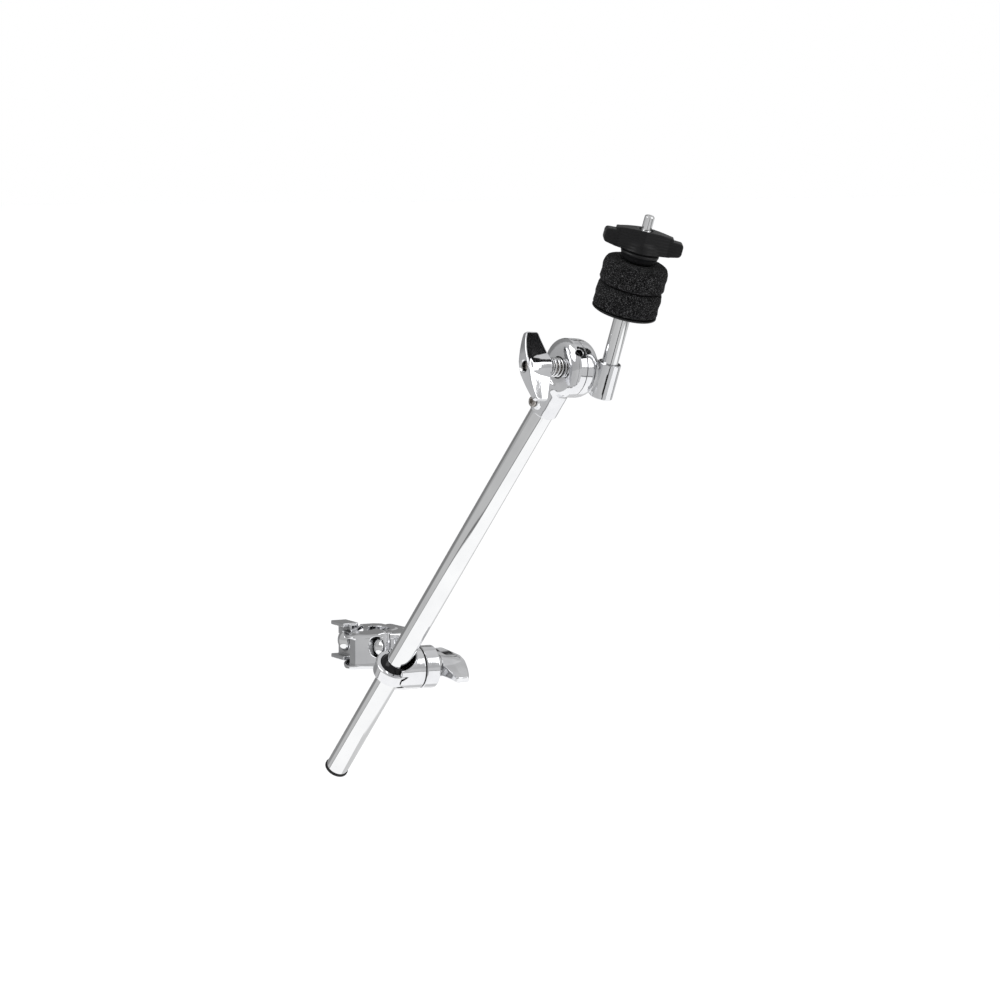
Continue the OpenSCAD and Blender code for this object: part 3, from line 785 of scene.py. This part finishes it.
s_low, s_high = span("boom_saddle", HEAD)
BALL_R = radius("split_ball", BOOM, 2)
RING_R = 16.6
ring_half = span("eye_bolt", HEAD)[1][2]
slot_half = ring_half + 0.3


def saddle_solid(x, y, z):
    d = bar(x, z, y, BARREL_R, s_low[1], s_high[1], 1.0)
    gap = soft_max(np.abs(z) - slot_half, np.minimum(np.hypot(x, y) - RING_R - 0.7, y), 0.2)
    d = cut(d, gap, 0.8)
    height = np.abs(z)
    widen = BALL_R - 2 + 3.4 * (height - slot_half) / (BARREL_R - slot_half)
    notch = soft_max((np.hypot(x, y) - widen) * 0.96, slot_half - 0.2 - height, 0.2)
    d = cut(d, notch, 2.2)
    d = cut(d, ball(x, y, z, BALL_R) - GAP, 0.8)
    return cut(d, soft_max(np.hypot(x, z) - M8 - GAP, -y, 0.2), 0.4)


cast_piece("boom_saddle_cast", saddle_solid, "boom_saddle", "head", HEAD, voxel=0.36)


def ring_solid(x, y, z):
    d = bar(x, y, z, RING_R, -ring_half, ring_half, 1.4)
    neck = cone(x, z, y, 6.2, 4.2, RING_R - 3, RING_R + 1.6, 0.5)
    d = soft_min(d, neck, 1.5)
    d = cut(d, ball(x, y, z, BALL_R) - GAP, 1.2)
    return cut(d, ball(x, y - 1, z, BALL_R) - GAP, 0.8)


e_low, e_high = span("eye_bolt", HEAD)
ring = cast("eye_ring", ring_solid, e_low, (e_high[0], RING_R + 2, e_high[2]), HEAD, 0.3)
shank = thread("eye_thread", M8, RING_R - 1.5, e_high[1], HEAD, along=1, plain=((-FAR, 30.0),))
finish_piece(joined("eye_bolt_piece", ring, shank), "eye_bolt", "head", CHROME)
bore_r = radius("boom_tube", BOOM, 2) + 0.05


def ball_solid(x, y, z):
    skin = ball(x, y, z, BALL_R)
    d = cut(skin, np.hypot(x, y) - bore_r, 1.0)
    d = cut(d, soft_max(np.abs(y) - 1.0, x, 0.2), 0.6)
    groove = np.hypot(skin, z) - 0.35
    return cut(d, groove, 0.3)


cast_piece("split_ball_piece", ball_solid, "split_ball", "ball", BOOM, RESIN, 0.34)
swivel_r = span("swivel_washer", HOLDER)[1][0]
ring_piece("swivel_washer_ring", "swivel_washer", "head", HOLDER, FIBRE, 0.1,
           ((swivel_r, 0.25), (swivel_r, 0.25)), segments=128)
holder_r = span("holder_washer", HOLDER)[1][0]
HOLDER_TOP_R = 9.2
ring_piece("holder_washer_ring", "holder_washer", "clamp", HOLDER, TUBE, 0.2,
           ((holder_r, 0.6), (HOLDER_TOP_R, 0.9)))
wing_nut("holder_wing_nut_cast", "holder_wing_nut", "holder_nut", CLAMP, 1, 1)

# ---- boom

BOOM_R = bore_r - 0.05
WALL = 1.5
ring_piece("boom_tube_piece", "boom_tube", "boom", BOOM, TUBE, 0.3, ((BOOM_R, 0.35), (BOOM_R, 0.35)), along=2,
           segments=192, bore=BOOM_R - WALL)
c_low, c_high = span("end_cap", BOOM)
cap_r = c_high[0]
plug_r = BOOM_R - WALL - 0.02
cap_top = span("boom_tube", BOOM)[0][2] - 0.02
cap_corners = [(0, c_low[2] + 0.15, 0), (cap_r * 0.62, c_low[2] + 0.15, 0.3), (cap_r * 0.66, c_low[2], 0.4),
               (cap_r, c_low[2], 1.3), (cap_r, cap_top, 0.3), (plug_r, cap_top, 0)]
for i in range(3):
    rib = cap_top + 2.2 + 2.6 * i
    cap_corners += [(plug_r - 0.35, rib - 0.9, 0.1), (plug_r, rib, 0.2), (plug_r - 0.35, rib + 0.9, 0.1)]
cap_corners += [(plug_r - 0.4, c_high[2], 0.4), (0, c_high[2], 0)]
finish_piece(turned("end_cap_piece", cap_corners, BOOM, 128), "end_cap", "boom", PLASTIC)

# ---- tilter, in the TILTER frame

DISC_R = radius("friction_disc", TILTER, 1) + 1.2
SCREW_Z, SCREW_Y = -37.0, -14.0
SOCKET_LOW = span("tilter_base", TILTER)[0][2]
SOCKET_R, SCREW_BOSS_R = 11.6, 5.2
SPRING_WELL_R, KEY_WELL_R = 8.6, 7.0
DIMPLE_TURN = math.radians(17)


def dome_outline(face, full, crown, crown_r):
    """Half-disc profile as (radius, height): flat face, straight rim, then a dome to the crown."""
    out = [(-1, face), (DISC_R, face), (DISC_R, full)]
    for i in range(1, 13):
        a = math.radians(90 * i / 12)
        out.append((crown_r + (DISC_R - crown_r) * math.cos(a) ** 0.9,
                    full + (crown - full) * math.sin(a) ** 0.9))
    out.append((-1, crown))
    return out


base_outline = dome_outline(2.0, -2.5, -10.0, 12)


def tilter_base_solid(x, y, z):
    d = plan(np.hypot(x, z), y, base_outline)
    sleeve = bar(x, y, z, SOCKET_R, SOCKET_LOW, -14, 0.9)
    d = soft_min(d, sleeve, 3.5)
    d = soft_min(d, bar(x, z - SCREW_Z, y, SCREW_BOSS_R, SCREW_Y, -4, 0.7), 1.6)
    d = cut(d, soft_max(np.hypot(x, y) - bore_r, z + 25.8, 0.3), 0.7)
    d = cut(d, soft_max(2.0 - y, np.hypot(x, z) - DISC_R - 0.6, 0.3), 0.35)
    d = cut(d, np.hypot(x, z) - M8 - GAP, 0.4)
    d = cut(d, soft_max(np.hypot(x, z) - SPRING_WELL_R, y + 8.5, 0.3), 0.7)
    d = cut(d, soft_max(np.hypot(x, z - SCREW_Z) - M5 - GAP, y, 0.3), 0.5)
    u = x * math.cos(DIMPLE_TURN) - z * math.sin(DIMPLE_TURN)
    w = x * math.sin(DIMPLE_TURN) + z * math.cos(DIMPLE_TURN)
    dimple = soft_max(np.hypot(u, y + 3.6) - 3.0, 18.5 - w, 0.8)
    return cut(d, dimple, 0.8)


cast_piece("tilter_base_cast", tilter_base_solid, "tilter_base", "tilter", TILTER, voxel=0.38)
q_low, q_high = span("set_screw", TILTER)
SCREW_HEAD_R = 4.1


def set_screw_solid(x, y, z):
    u, v = x, z - SCREW_Z
    d = bar(u, v, y, SCREW_HEAD_R, q_low[1], q_low[1] + 2.55, 0.7)
    d = soft_min(d, bar(u, v, y, M5, q_low[1] + 1, q_high[1], 0.5), 0.3)
    return cut(d, soft_max(hexagon(u, v, 2.0), y - q_low[1] - 2.2, 0.3), 0.3)


cast_piece("set_screw_piece", set_screw_solid, "set_screw", "tilter", TILTER, SCREW, 0.2)
friction_r = span("friction_disc", TILTER)[1][0]
ring_piece("friction_disc_ring", "friction_disc", "tilter", TILTER, FIBRE, 0.05,
           ((friction_r, 0.1), (friction_r, 0.1)), segments=128)

k_low, k_high = span("tilter_spring", TILTER)
SPRING_R, WIRE_R, SPRING_TURNS = 6.9, 0.9, 3.5
finish_piece(coil("tilter_spring_wire", SPRING_R, WIRE_R, k_low[1], k_high[1], SPRING_TURNS, TILTER),
             "tilter_spring", "tilter", TUBE)
washer_r = span("tilter_washer", TILTER)[1][0]
ring_piece("tilter_washer_ring", "tilter_washer", "tilter", TILTER, FIBRE, 0.1,
           ((washer_r, 0.3), (washer_r, 0.3)))

# The arm half, in the ROD frame: the tilter's axis runs along y at x = -OFF_X
OFF_X, OFF_Y = (-v for v in (ROD.inverted() @ tilt_centre)[:2])
ARM_SOCKET_R, ROD_BORE_R = 9.2, 6.52
arm_outline = dome_outline(2.4, 6.0, 17.0, 13)
reach = math.hypot(OFF_X - 2, OFF_Y - 13)
dir_x, dir_y = (OFF_X - 2) / reach, (OFF_Y - 13) / reach


def tilter_arm_solid(x, y, z):
    tx, ty = x + OFF_X, y + OFF_Y
    d = plan(np.hypot(tx, z), ty, arm_outline)
    along = (tx - 2) * dir_x + (ty - 13) * dir_y
    across = (ty - 13) * dir_x - (tx - 2) * dir_y
    half_t = 5.0 + 2.9 * along / reach
    wedge = soft_max((np.abs(across) - half_t) * 0.99, np.abs(z + 2) - 10.6 + 0.02 * along, 3.0)
    wedge = soft_max(wedge, slab(along, -9, reach + 3), 3.0)
    d = soft_min(d, wedge, 3.2)
    d = soft_min(d, bar(x, y, z, ARM_SOCKET_R, -15, 14, 0.7), 2.0)
    d = cut(d, soft_max(ty - 2.4, np.hypot(tx, z) - 40, 0.1), 0.25)
    d = cut(d, np.hypot(tx, z) - M8 - GAP, 0.4)
    d = cut(d, soft_max(np.hypot(tx, z) - KEY_WELL_R, 9.0 - ty, 0.3), 0.7)
    return cut(d, soft_max(np.hypot(x, y) - ROD_BORE_R, -13 - z, 0.2), 0.5)


cast_piece("tilter_arm_cast", tilter_arm_solid, "tilter_arm", "arm", ROD, voxel=0.38)

o_low, o_high = span("tilter_bolt", TILTER)
BOLT_R = 6.5


def bolt_head_solid(x, y, z):
    r = np.hypot(x, z)
    d = bar(x, z, y, BOLT_R, 9.05, 13.2, 0.6)
    d = soft_max(soft_min(d, bar(x, z, y, BOLT_R, 9.05, o_high[1], 2.2), 0.3), r - BOLT_R, 0.2)
    return cut(d, soft_max(hexagon(x, z, 2.5), 12.0 - y, 0.3), 0.4)


head = cast("tilter_bolt_head", bolt_head_solid, (-BOLT_R, 9.0, -BOLT_R), (BOLT_R, o_high[1], BOLT_R), TILTER,
            0.25)
shank = thread("tilter_bolt_thread", M8, o_low[1], 9.5, TILTER, along=1, plain=((-2.0, FAR),))
finish_piece(joined("tilter_bolt_piece", head, shank), "tilter_bolt", "arm", SCREW)
wing_nut("tilter_wing_nut_cast", "tilter_wing_nut", "tilter_nut", TILTER, 1, -1)

# ---- cymbal seat, in the ROD frame

rod_low, rod_high = span("seat_rod", ROD)
ROD_R = rod_high[0]
cup_low, cup_high = span("cup_washer", ROD)
seat_z = cup_low[2] - 0.05
rod_part = turned("seat_rod_shaft", [(0, rod_low[2], 0), (ROD_R, rod_low[2], 0.4), (ROD_R, seat_z - 0.1, 0.6),
                                     (M8, seat_z, 0.1), (0, seat_z, 0)], ROD, 160)
STUD_PLAIN, STUD_TIP = 44, 10.8
stud_part = thread("seat_rod_stud", M8, seat_z - 0.5, rod_high[2], ROD, 1.25, 0.42, segments=56,
                   plain=((-FAR, seat_z + STUD_PLAIN), (rod_high[2] - STUD_TIP, FAR)))
finish_piece(joined("seat_rod_piece", rod_part, stud_part), "seat_rod", "arm", TUBE)

cup_r = cup_high[0]
finish_piece(turned("cup_washer_piece",
                    [(M8 + GAP, cup_low[2], 0.2), (cup_r - 1.6, cup_low[2], 0.8),
                     (cup_r, cup_low[2] + 1.0, 0.6), (cup_r, cup_high[2], 0.4),
                     (M8 + GAP, cup_high[2], 0.2)], ROD, 160),
             "cup_washer", "arm", PLASTIC)
sleeve_r = span("stud_sleeve", ROD)[1][0]
ring_piece("stud_sleeve_piece", "stud_sleeve", "arm", ROD, PLASTIC, 0.2, ((sleeve_r, 0.3), (sleeve_r, 0.5)),
           along=2)
col_low, col_high = span("top_collar", ROD)
finish_piece(turned("top_collar_piece",
                    [(M8 + GAP, col_low[2], 0.3), (12.6, col_low[2], 0.8), (14.0, col_low[2] + 1.2, 0.8),
                     (14.6, col_low[2] + 4.6, 1.2), (col_high[0], col_high[2] - 1.4, 1.4),
                     (col_high[0] - 0.6, col_high[2], 0.9), (M8 + GAP, col_high[2], 0.3)], ROD, 160),
             "top_collar", "collar", PLASTIC)

wm = nut_matrix("top_wing_nut", ROD, 2, 1)
TOP_HALF, _, TOP_H = span("top_wing_nut", wm)[1]
INSERT_R = 7.5
ARCH_HALF = TOP_HALF - 9
ARCH_R = (ARCH_HALF ** 2 + 4) / 4


def top_wing_solid(x, y, z):
    side = np.abs(x)
    arch = soft_max(np.hypot(x, z - TOP_H + ARCH_R) - ARCH_R, side - ARCH_HALF - 0.5, 0.8)
    tip = soft_max(soft_max(z - 14.0 + 0.05 * (side - 20), side - TOP_HALF, 3.0),
                   (2.2 - z) * 0.97 + (side - TOP_HALF + 3.0) * 0.24, 3.0)
    outline = soft_max(soft_min(arch, tip, 0.5), (side - 15) * 0.11 - z * 0.97, 0.9)
    outline = soft_max(outline, 0.15 - z, 0.6)
    ridge = 8.6 - 3.6 * np.clip(side / 20.0, 0, 1) - 0.05 * np.maximum(z - 6, 0) + 0.14 * np.sin(z * 2.6)
    blade = soft_max(outline, (np.abs(y) - ridge) * 0.96, 1.2)
    hub = cone(x, y, z, 12.6, 10.0, 0, 7.0, 1.0)
    d = soft_min(blade, hub, 3.5)
    d = cut(d, np.hypot(x, y) - M8 - GAP, 0.4)
    d = cut(d, soft_max(hexagon(x, y, (INSERT_R + 0.02) * math.cos(math.pi / 6)), z - 6.5, 0.2), 0.3)
    funnel = (np.hypot(x, y) - 4.0 - (z - TOP_H + 3.0) * 0.67) * 0.83
    return cut(d, soft_max(funnel, TOP_H - 3.0 - z, 0.3), 0.5)


cast_piece("top_wing_nut_piece", top_wing_solid, "top_wing_nut", "wing", wm, PLASTIC, 0.36)
in_low, in_high = span("wing_nut_insert", wm)


def insert_solid(x, y, z):
    d = soft_max(hexagon(x, y, INSERT_R * math.cos(math.pi / 6)), slab(z, in_low[2], in_high[2]), 0.4)
    return cut(d, np.hypot(x, y) - M8 - GAP, 0.5)


cast_piece("wing_nut_insert_piece", insert_solid, "wing_nut_insert", "wing", wm, SCREW, 0.3)

# ---- felts


def swell(ob, voxel, cap, frames=20):
    """Remeshes a soft piece and lets inner pressure crown it. No point moves further than cap, in metres."""
    mod = ob.modifiers.new("remesh", "REMESH")
    mod.mode = "VOXEL"
    mod.voxel_size = voxel
    bpy.context.view_layer.objects.active = ob
    bpy.ops.object.modifier_apply(modifier=mod.name)
    start = np.array([v.co[:] for v in ob.data.vertices])
    cloth = ob.modifiers.new("cloth", "CLOTH")
    cloth.settings.use_pressure = True
    cloth.settings.uniform_pressure_force = 4.0
    cloth.settings.tension_stiffness = 25
    cloth.settings.bending_stiffness = 3
    cloth.settings.effector_weights.gravity = 0
    cloth.point_cache.frame_start = 1
    cloth.point_cache.frame_end = frames
    scene = bpy.context.scene
    for f in range(1, frames + 1):
        scene.frame_set(f)
    deps = bpy.context.evaluated_depsgraph_get()
    moved = np.array([v.co[:] for v in ob.evaluated_get(deps).data.vertices])
    ob.modifiers.remove(cloth)
    scene.frame_set(1)
    step = moved - start
    size = np.linalg.norm(step, axis=1, keepdims=True)
    out = start + step * np.minimum(1, cap / np.maximum(size, 1e-12))
    ob.data.vertices.foreach_set("co", out.ravel())
    ob.data.update()


def lumps(co, seed):
    """Smooth pseudo-random field from a fixed set of waves, between -1 and 1."""
    rng = np.random.default_rng(seed)
    total = np.zeros(len(co))
    for scale in (0.12, 0.3, 0.7, 1.5):
        for _ in range(5):
            k = rng.normal(size=3)
            k *= scale * 2 * math.pi / 3 / np.linalg.norm(k)
            total += np.sin(co @ k + rng.uniform(0, 6.28)) / (1 + scale * 2)
    return total / np.abs(total).max()


# Heights of the felt's lumps and pressed layers, and how far its skin may stand out, in millimetres
LUMP, LAYER, PROUD = 0.4, 0.22, 1.3


def felt_piece(name, node, body, seed, low_round, high_round):
    low, high = span(node, ROD)
    r, bore = high[0], sleeve_r + 0.3
    z0, z1 = low[2], high[2]
    rim = r - 0.6
    ob = turned(name, [(bore, z0 + 0.3, 1.0), (rim, z0 + 0.3, low_round), (rim, z1 - 0.3, high_round),
                       (bore, z1 - 0.3, 1.0)], ROD, 128)
    swell(ob, voxel=0.0016, cap=0.0008)
    sub = ob.modifiers.new("fine", "SUBSURF")
    sub.levels = sub.render_levels = 1
    bpy.context.view_layer.objects.active = ob
    bpy.ops.object.modifier_apply(modifier=sub.name)
    inv, fwd = np.array(ROD.inverted()), np.array(ROD)
    co = np.empty(len(ob.data.vertices) * 3)
    ob.data.vertices.foreach_get("co", co)
    co = co.reshape(-1, 3) @ inv[:3, :3].T + inv[:3, 3]
    rad = np.hypot(co[:, 0], co[:, 1])
    skin = rad > r - 4
    layers = (co[:, 2] - z0) * 2 * math.pi / (z1 - z0) * 2.0
    layer = LAYER * np.sin(layers + 0.4 * lumps(co * 0.25, seed + 5))
    push = LUMP * lumps(co, seed) + layer
    scale = np.where(skin, np.minimum(rad + push, r + PROUD) / rad, 1.0)
    co[:, :2] *= np.where(rad > bore + 2, scale, np.maximum(1, bore / rad))[:, None]
    co[:, 2] = np.clip(co[:, 2], z0, z1)
    co = co @ fwd[:3, :3].T + fwd[:3, 3]
    ob.data.vertices.foreach_set("co", co.ravel())
    ob.data.update()
    ob.data.polygons.foreach_set("use_smooth", [True] * len(ob.data.polygons))
    return finish_piece(ob, node, body, FELT)


felt_piece("lower_felt_wool", "lower_felt", "arm", RNG_SEED, 2.0, 2.0)
felt_piece("upper_felt_wool", "upper_felt", "felt", RNG_SEED + 1, 2.0, 5.0)

# ---- stage, light and camera

AZIMUTH, ELEVATION, DISTANCE, LENS = 63.0, 5.5, 3.3, 139.2
az, el = math.radians(AZIMUTH), math.radians(ELEVATION)
look = Vector((-math.sin(az) * math.cos(el), math.cos(az) * math.cos(el), -math.sin(el)))
target = Vector((0.0387, 0.1015, 0.1205))
cam_data = bpy.data.cameras.new("camera")
cam_data.lens = LENS
cam_data.sensor_width = 36
cam_data.clip_end = 100
cam = bpy.data.objects.new("camera", cam_data)
cam.location = target - look * DISTANCE
cam.rotation_euler = (math.pi / 2 - el, 0, az)
bpy.context.scene.collection.objects.link(cam)
bpy.context.scene.camera = cam


def tent_group():
    """Brightness of the light tent by direction: pale walls, white paper below, and narrow dark gaps.

    The input is a direction from the object. Bearing is measured from the camera's side, positive to the
    right, and height from the level, both in degrees.
    """
    t = bpy.data.node_groups.new("tent", "ShaderNodeTree")
    t.interface.new_socket("Direction", in_out="INPUT", socket_type="NodeSocketVector")
    t.interface.new_socket("Level", in_out="OUTPUT", socket_type="NodeSocketFloat")
    g = Graph(t)
    calc = g.math

    def step(value, at, soft, low, high):
        ends = {"Value": value, "From Min": at, "From Max": calc("ADD", at, soft), "To Min": low,
                "To Max": high}
        return g.add("MapRange", ends, interpolation_type="SMOOTHSTEP").outputs["Result"]

    def band(value, centre, half, soft):
        return step(calc("ABSOLUTE", calc("SUBTRACT", value, centre)), half, soft, 1.0, 0.0)

    group_in, group_out = t.nodes.new("NodeGroupInput"), t.nodes.new("NodeGroupOutput")
    unit = g.add("VectorMath", {0: group_in.outputs[0]}, operation="NORMALIZE").outputs[0]
    spin = g.add("VectorRotate", {"Vector": unit, "Angle": math.pi / 2 - az}, rotation_type="Z_AXIS")
    axes = g.add("SeparateXYZ", {0: spin.outputs["Vector"]}).outputs
    bearing = calc("MULTIPLY", calc("ARCTAN2", axes[1], axes[0]), 180 / math.pi)
    height = calc("MULTIPLY", calc("ARCSINE", axes[2]), 180 / math.pi)

    wall = step(bearing, -122.0, 8.0, LEFT_DARK, LEFT_GREY)
    wall = calc("ADD", wall, step(bearing, -50.0, 60.0, 0.0, FRONT_GREY - LEFT_GREY))
    wall = calc("ADD", wall, step(bearing, 140.0, 25.0, 0.0, BACK_PALE - FRONT_GREY))
    wall = calc("MULTIPLY", wall, step(height, 5.0, 70.0, 1.0, 1.35))
    edge = step(bearing, -70.0, 40.0, -27.0, -41.0)
    edge = calc("ADD", edge, step(bearing, 30.0, 20.0, 0.0, 21.0))
    under = calc("SUBTRACT", edge, 0.8)
    above = calc("MULTIPLY", wall, step(height, under, 1.6, 0.0, 1.0))
    level = calc("ADD", step(height, under, 1.6, PAPER, 0.0), above)
    level = calc("MULTIPLY", level, step(bearing, 135.0, 20.0, 1.0, EDGE_TONE))
    seam = step(calc("ABSOLUTE", calc("SUBTRACT", height, edge)), 0.5, 1.5, 0.25, 1.0)
    level = calc("MULTIPLY", level, seam)
    gap = calc("MULTIPLY", band(bearing, 9.0, 3.2, 1.5), step(height, -48.0, 4.0, 0.0, 1.0))
    behind = step(calc("ABSOLUTE", bearing), 160.0, 8.0, 0.0, 1.0)
    rim = calc("MULTIPLY", band(height, 29.0, 2.5, 1.5), behind)
    for dark, depth in ((gap, GAP_DEPTH), (rim, RIM_DEPTH)):
        level = calc("MULTIPLY", level, calc("SUBTRACT", 1.0, calc("MULTIPLY", dark, depth)))
    t.links.new(level, group_out.inputs[0])
    return t


# Brightness of the tent's parts as the chrome mirrors them
LEFT_DARK, LEFT_GREY, FRONT_GREY, BACK_PALE, PAPER, EDGE_TONE = 0.3, 0.56, 0.64, 0.98, 1.12, 0.62
# How much light the tent's gap in front and its rim behind take away
GAP_DEPTH, RIM_DEPTH = 0.985, 0.93
TENT = tent_group()


def tent_world():
    world = bpy.data.worlds.new("tent")
    bpy.context.scene.world = world
    world.use_nodes = True
    g = Graph(world.node_tree)
    g.tree.nodes.clear()
    group = g.add("Group", node_tree=TENT)
    g.feed(group.inputs[0], g.add("TexCoord").outputs["Generated"])
    plain = g.add("Background", {"Color": (1, 1, 1, 1)})
    tented = g.add("Background", {"Strength": group.outputs[0]})
    glossy = g.add("LightPath").outputs["Is Glossy Ray"]
    mix = g.add("MixShader", {0: glossy, 1: plain.outputs[0], 2: tented.outputs[0]})
    g.add("OutputWorld", {"Surface": mix.outputs[0]})


def paper_floor():
    """A wide plain floor: white paper to the camera, and the tent's lower half to the chrome."""
    size, z = 40.0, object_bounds()[0][2] - 0.35
    mesh = bpy.data.meshes.new("floor")
    corners = [(-size, -size, z), (size, -size, z), (size, size, z), (-size, size, z)]
    mesh.from_pydata(corners, [], [(0, 1, 2, 3)])
    ob = bpy.data.objects.new("floor", mesh)
    bpy.context.scene.collection.objects.link(ob)
    n = Nodes("floor_paper")
    grain = n.noise(n.where(), 40.0, 3.0)
    n.set(Base_Color=n.ramp(grain, [(0.3, grey(0.95)), (0.7, grey(0.965))]), Roughness=0.9,
          Specular_IOR_Level=0.0, Emission_Color=(1, 1, 1, 1), Emission_Strength=0.05)
    place = n.add("NewGeometry").outputs["Position"]
    away = n.add("VectorMath", {0: place, 1: tuple(target)}, operation="SUBTRACT").outputs[0]
    group = n.add("Group", node_tree=TENT)
    n.feed(group.inputs[0], away)
    glow = n.add("Emission", {"Strength": group.outputs[0]})
    glossy = n.add("LightPath").outputs["Is Glossy Ray"]
    mix = n.add("MixShader", {0: glossy, 1: n.bsdf.outputs[0], 2: glow.outputs[0]})
    out = next(k for k in n.tree.nodes if k.type == "OUTPUT_MATERIAL")
    n.feed(out.inputs["Surface"], mix.outputs[0])
    mesh.materials.append(n.mat)


tent_world()
paper_floor()


def soft_box(name, bearing, height, distance, size, power):
    """An area light that faces the object, at a bearing from the camera and a height, in degrees."""
    data = bpy.data.lights.new(name, "AREA")
    data.shape = "RECTANGLE"
    data.size, data.size_y = size
    data.energy = power
    a, e = az + math.radians(bearing), math.radians(height)
    away = Vector((math.sin(a) * math.cos(e), -math.cos(a) * math.cos(e), math.sin(e)))
    ob = bpy.data.objects.new(name, data)
    ob.location = target + away * distance
    ob.rotation_euler = (-away).to_track_quat("-Z", "Y").to_euler()
    bpy.context.scene.collection.objects.link(ob)


soft_box("key_box", -50, 40, 2.2, (1.2, 1.6), 14)
soft_box("fill_box", 65, 25, 2.6, (1.0, 1.8), 9)

bpy.context.scene.view_settings.view_transform = "Standard"
